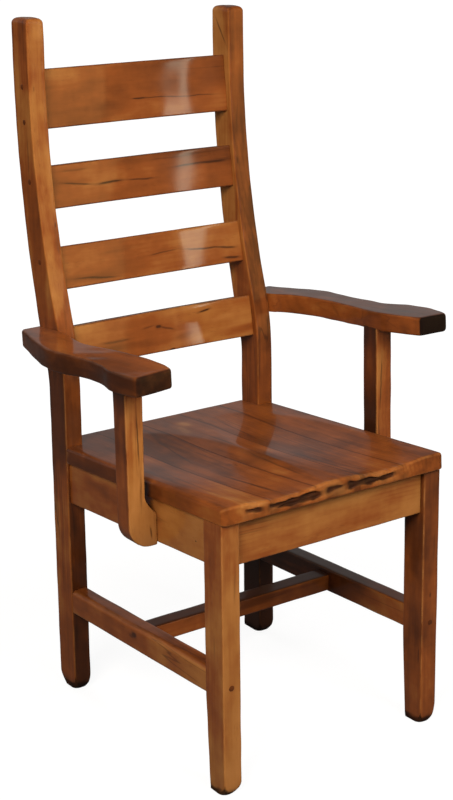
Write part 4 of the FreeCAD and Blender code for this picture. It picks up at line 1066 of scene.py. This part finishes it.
def slat_plug_places():
    bottoms = slat_bottoms()
    heights = [bottoms["top_slat"] + above for above in TOP_SLAT_PLUGS]
    heights += [bottoms[name] + SLAT_PLUG for name in ("upper_slat", "middle_slat")]
    places = []
    for height in heights:
        depth = POST_FRONT + SLAT_SETBACK + PLUG_BACK + float(post_lean(height, BEND_RADIUS))
        places += [((sign * HALF_WIDTH, FRONT + depth, height), (sign, 0, 0)) for sign in SIDES.values()]
    return places


def stretcher_plug_places():
    places = []
    x = HALF_WIDTH - STRETCHER_INSET - STRETCHER_THICKNESS / 2
    half = STRETCHER_HEIGHT / 2
    for sign in SIDES.values():
        places.append(((sign * x, FRONT, stretcher_line(LEG_DEPTH) - half), (0, -1, 0)))
        places.append(((sign * x, FRONT + FRAME_DEPTH, stretcher_line(POST_FRONT) - half), (0, 1, 0)))
    return places


# Hidden pieces keep their CAD shape

MAPLE = ((0.25, (0.40, 0.24, 0.12)), (0.5, (0.50, 0.32, 0.17)), (0.75, (0.58, 0.40, 0.24)))
ZINC = ((0.3, (0.42, 0.42, 0.43)), (0.5, (0.56, 0.56, 0.57)), (0.7, (0.63, 0.62, 0.60)))


def raw_wood(g, place):
    bands = g.noise(place, (14, 120, 90), 3, 0.55, 0.3)
    fibres = g.noise(place, (60, 700, 700), 2)
    colour = g.ramp(g.scale_add(fibres, 0.3, g.multiply(bands, 0.7)), MAPLE)
    bump = g.add("Bump", {"Strength": 0.3, "Distance": 0.0004, "Height": fibres}).outputs[0]
    return {"Base Color": colour, "Roughness": g.fit(bands, 0.2, 0.8, 0.5, 0.7), "Normal": bump}


def screw_steel(g, place):
    cloud = g.noise(place, (300, 300, 300), 3)
    rough = g.fit(cloud, 0.3, 0.7, 0.28, 0.5)
    return {"Base Color": g.ramp(cloud, ZINC), "Roughness": rough, "Metallic": 1}


def plain_material(name, recipe):
    """A material whose shader takes its inputs from a recipe of the graph and the place."""
    material = bpy.data.materials.new(name)
    material.use_nodes = True
    g = Graph(material.node_tree)
    place = g.add("TexCoord").outputs["Object"]
    g.set(g.tree.nodes["Principled BSDF"], recipe(g, place))
    return material


def dress(node, material):
    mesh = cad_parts[node].data
    mesh.materials.clear()
    mesh.materials.append(material)


# Build the chair

for side, sign in SIDES.items():
    post(side, sign)
    front_leg(side, sign)
    side_rail(side + "_apron", sign, under_seat, APRON_HEIGHT, APRON_THICKNESS, SIDE_APRON_INSET, APRON_EDGES,
              APRON_SHADES)
    side_rail(side + "_stretcher", sign, stretcher_line, STRETCHER_HEIGHT, STRETCHER_THICKNESS,
              STRETCHER_INSET, STRETCHER_EDGES[side], STRETCHER_SHADES[side])
    arm_support(side, sign)
    arm(side, sign)
for node, bottom in slat_bottoms().items():
    slat(node, bottom)
for index in range(SEAT_BOARDS):
    seat_board(index)
rear_inset = FRAME_DEPTH - (POST_DEPTH + APRON_THICKNESS) / 2
aprons = (("front_apron", FRONT_APRON_INSET, LEG_WIDTH), ("rear_apron", rear_inset, POST_WIDTH))
for node, depth, width in aprons:
    span = (under_seat(depth) - APRON_HEIGHT, under_seat(depth + APRON_THICKNESS))
    cross_rail(node, depth, HALF_WIDTH - width, APRON_THICKNESS, span, APRON_EDGE)
cross_low = stretcher_line(CROSS_PLACE) - STRETCHER_HEIGHT + CROSS_RISE
cross_gap = HALF_WIDTH - STRETCHER_INSET - STRETCHER_THICKNESS
cross_rail("cross_stretcher", CROSS_PLACE, cross_gap, CROSS_THICKNESS, (cross_low, cross_low + CROSS_HEIGHT),
           CROSS_EDGE, CROSS_SHADE)
plugs("slat_plugs", slat_plug_places())
plugs("stretcher_plugs", stretcher_plug_places())
maple = plain_material("unstained_maple", raw_wood)
steel = plain_material("zinc_plated_steel", screw_steel)
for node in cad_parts:
    if node.startswith("corner_block") or node == "arm_dowels":
        dress(node, maple)
    elif node.endswith("_screws"):
        dress(node, steel)


# Floor, light and camera, in metres

WHITE = (1, 1, 1, 1)
PALE_FLOOR, DIM_FLOOR, ROOM = (0.9, 0.9, 0.9, 1), (0.07, 0.07, 0.07, 1), (1, 0.99, 0.97, 1)
FLOOR_REACH, FLOOR_WHITE, FLOOR_MIRRORED = 30, 1.07, 0.02
SHADOW_SHARE, SHADOW_START, SHADOW_END = 0.17, 0.5, 1.6
ROOM_LIGHT, BACKDROP_LIGHT = 0.015, 0.12
BACKDROP_LOW_MIRRORED, BACKDROP_HIGH_MIRRORED = 0.15, 0.04


def floor():
    """A pale floor that keeps the chair's shadow near it. Light that it sends back to the chair is dim."""
    mesh = bpy.data.meshes.new("floor")
    corners = [(x * FLOOR_REACH, y * FLOOR_REACH, 0) for x, y in ((-1, -1), (1, -1), (1, 1), (-1, 1))]
    mesh.from_pydata(corners, [], [(0, 1, 2, 3)])
    plane = bpy.data.objects.new("floor", mesh)
    bpy.context.scene.collection.objects.link(plane)
    material, g = new_material("pale_floor")
    path = g.add("LightPath").outputs
    place = g.add("NewGeometry").outputs["Position"]
    distance = g.add("VectorMath", {0: place}, operation="LENGTH").outputs["Value"]
    shadow = g.fit(distance, SHADOW_START, SHADOW_END, SHADOW_SHARE, 0)
    white = g.add("Emission", {"Color": WHITE, "Strength": FLOOR_WHITE}).outputs[0]
    pale = g.add("BsdfDiffuse", {"Color": PALE_FLOOR}).outputs[0]
    dim = g.add("BsdfDiffuse", {"Color": DIM_FLOOR}).outputs[0]
    direct = g.math("MAXIMUM", path["Is Camera Ray"], path["Is Transmission Ray"])
    factor = g.math("MAXIMUM", direct, g.multiply(path["Is Glossy Ray"], FLOOR_MIRRORED))
    surface = g.mix_shaders(factor, dim, g.mix_shaders(shadow, white, pale))
    g.add("OutputMaterial", {"Surface": surface})
    mesh.materials.append(material)


def studio():
    """White for the camera. The chair is lit by, and mirrors, a pale backdrop behind it and a dim room."""
    world = bpy.data.worlds.new("studio")
    bpy.context.scene.world = world
    world.use_nodes = True
    world.node_tree.nodes.clear()
    g = Graph(world.node_tree)
    path = g.add("LightPath").outputs
    way = g.add("SeparateXYZ", {0: g.add("TexCoord").outputs["Generated"]}).outputs
    behind = g.multiply(g.fit(way[1], -0.3, 0.5), g.fit(way[2], -0.05, 0.1))
    strength = g.scale_add(behind, BACKDROP_LIGHT, ROOM_LIGHT)
    room = g.add("Background", {"Color": ROOM, "Strength": strength}).outputs[0]
    white = g.add("Background", {"Color": WHITE, "Strength": 1}).outputs[0]
    direct = g.math("MAXIMUM", path["Is Camera Ray"], path["Is Transmission Ray"])
    share = g.fit(way[2], 0.2, 0.42, BACKDROP_LOW_MIRRORED, BACKDROP_HIGH_MIRRORED)
    mirrored = g.multiply(path["Is Glossy Ray"], g.multiply(behind, share))
    surface = g.mix_shaders(g.math("MAXIMUM", direct, mirrored), room, white)
    g.add("OutputWorld", {"Surface": surface})


# Softboxes at an azimuth from the front (towards +X) and an elevation, in degrees, aimed at a target.
# mirrored says whether the lacquer shows them.
Lamp = namedtuple("Lamp", "name azimuth elevation distance size power target colour mirrored")
MIDDLE = (0, 0, 0.6)
LAMPS = (
    Lamp("key", -57, 30, 2.8, (1.2, 1.2), 69, MIDDLE, (1, 0.92, 0.83), False),
    Lamp("front", 6, 30, 2.8, (1.2, 1.2), 56, MIDDLE, (1, 1, 1), False),
    Lamp("glint", -22, 36, 2.8, (0.5, 0.5), 1.8, MIDDLE, (1, 1, 1), True),
    Lamp("strip", 28.9, 8.5, 3.4, (0.075, 2.8), 2.5, (0, 0.2, 0.85), (1, 1, 0.78), True),
    Lamp("warm_wall", 51.8, 8, 3.4, (2.08, 2.4), 17, (0, 0.2, 0.8), (1, 0.6, 0.2), True),
    Lamp("back", 180, 14, 3, (1.2, 1.2), 38, MIDDLE, (1, 1, 1), False),
    Lamp("side", 95, 14, 3, (1.2, 1.4), 26, MIDDLE, (1, 1, 1), False),
)


def direction(azimuth, elevation):
    """The way from a target to something at an azimuth and an elevation."""
    turn, rise = math.radians(azimuth), math.radians(elevation)
    return Vector((math.sin(turn) * math.cos(rise), -math.cos(turn) * math.cos(rise), math.sin(rise)))


def light(lamp):
    area = bpy.data.lights.new(lamp.name, "AREA")
    area.shape = "RECTANGLE"
    area.size, area.size_y = lamp.size
    area.energy = lamp.power
    area.color = lamp.colour
    way = direction(lamp.azimuth, lamp.elevation)
    softbox = bpy.data.objects.new(lamp.name, area)
    softbox.location = Vector(lamp.target) + lamp.distance * way
    softbox.rotation_euler = (-way).to_track_quat("-Z", "Y").to_euler()
    softbox.visible_glossy = lamp.mirrored
    bpy.context.scene.collection.objects.link(softbox)


# The photograph's view, found from points on the chair. Pixels are those of a picture 453 wide and 800 high.
CAMERA_AZIMUTH, CAMERA_ELEVATION, CAMERA_ROLL = -35.165, 15.05, math.radians(-0.729)
CAMERA_TARGET, CAMERA_DISTANCE = Vector((0.16834, 0.23913, 0.52537)), 3
FOCAL_PIXELS, PICTURE, CENTRE_PIXEL = 1702.59, (453, 800), (226.51, 344.09)


def camera():
    back = direction(CAMERA_AZIMUTH, CAMERA_ELEVATION)
    right = (-back).cross(Vector((0, 0, 1))).normalized()
    up = right.cross(-back)
    x_axis = right * math.cos(CAMERA_ROLL) + up * math.sin(CAMERA_ROLL)
    y_axis = up * math.cos(CAMERA_ROLL) - right * math.sin(CAMERA_ROLL)
    lens = bpy.data.cameras.new("photo_camera")
    lens.sensor_fit = "VERTICAL"
    lens.sensor_height = 36
    lens.lens = FOCAL_PIXELS / PICTURE[1] * lens.sensor_height
    lens.shift_x = (PICTURE[0] / 2 - CENTRE_PIXEL[0]) / PICTURE[1]
    lens.shift_y = (CENTRE_PIXEL[1] - PICTURE[1] / 2) / PICTURE[1]
    view = bpy.data.objects.new("photo_camera", lens)
    place = Matrix((x_axis, y_axis, back)).transposed().to_4x4()
    place.translation = CAMERA_TARGET + back * CAMERA_DISTANCE
    view.matrix_world = place
    bpy.context.scene.collection.objects.link(view)
    bpy.context.scene.camera = view


floor()
studio()
for lamp in LAMPS:
    light(lamp)
camera()
bpy.context.scene.view_settings.view_transform = "Standard"
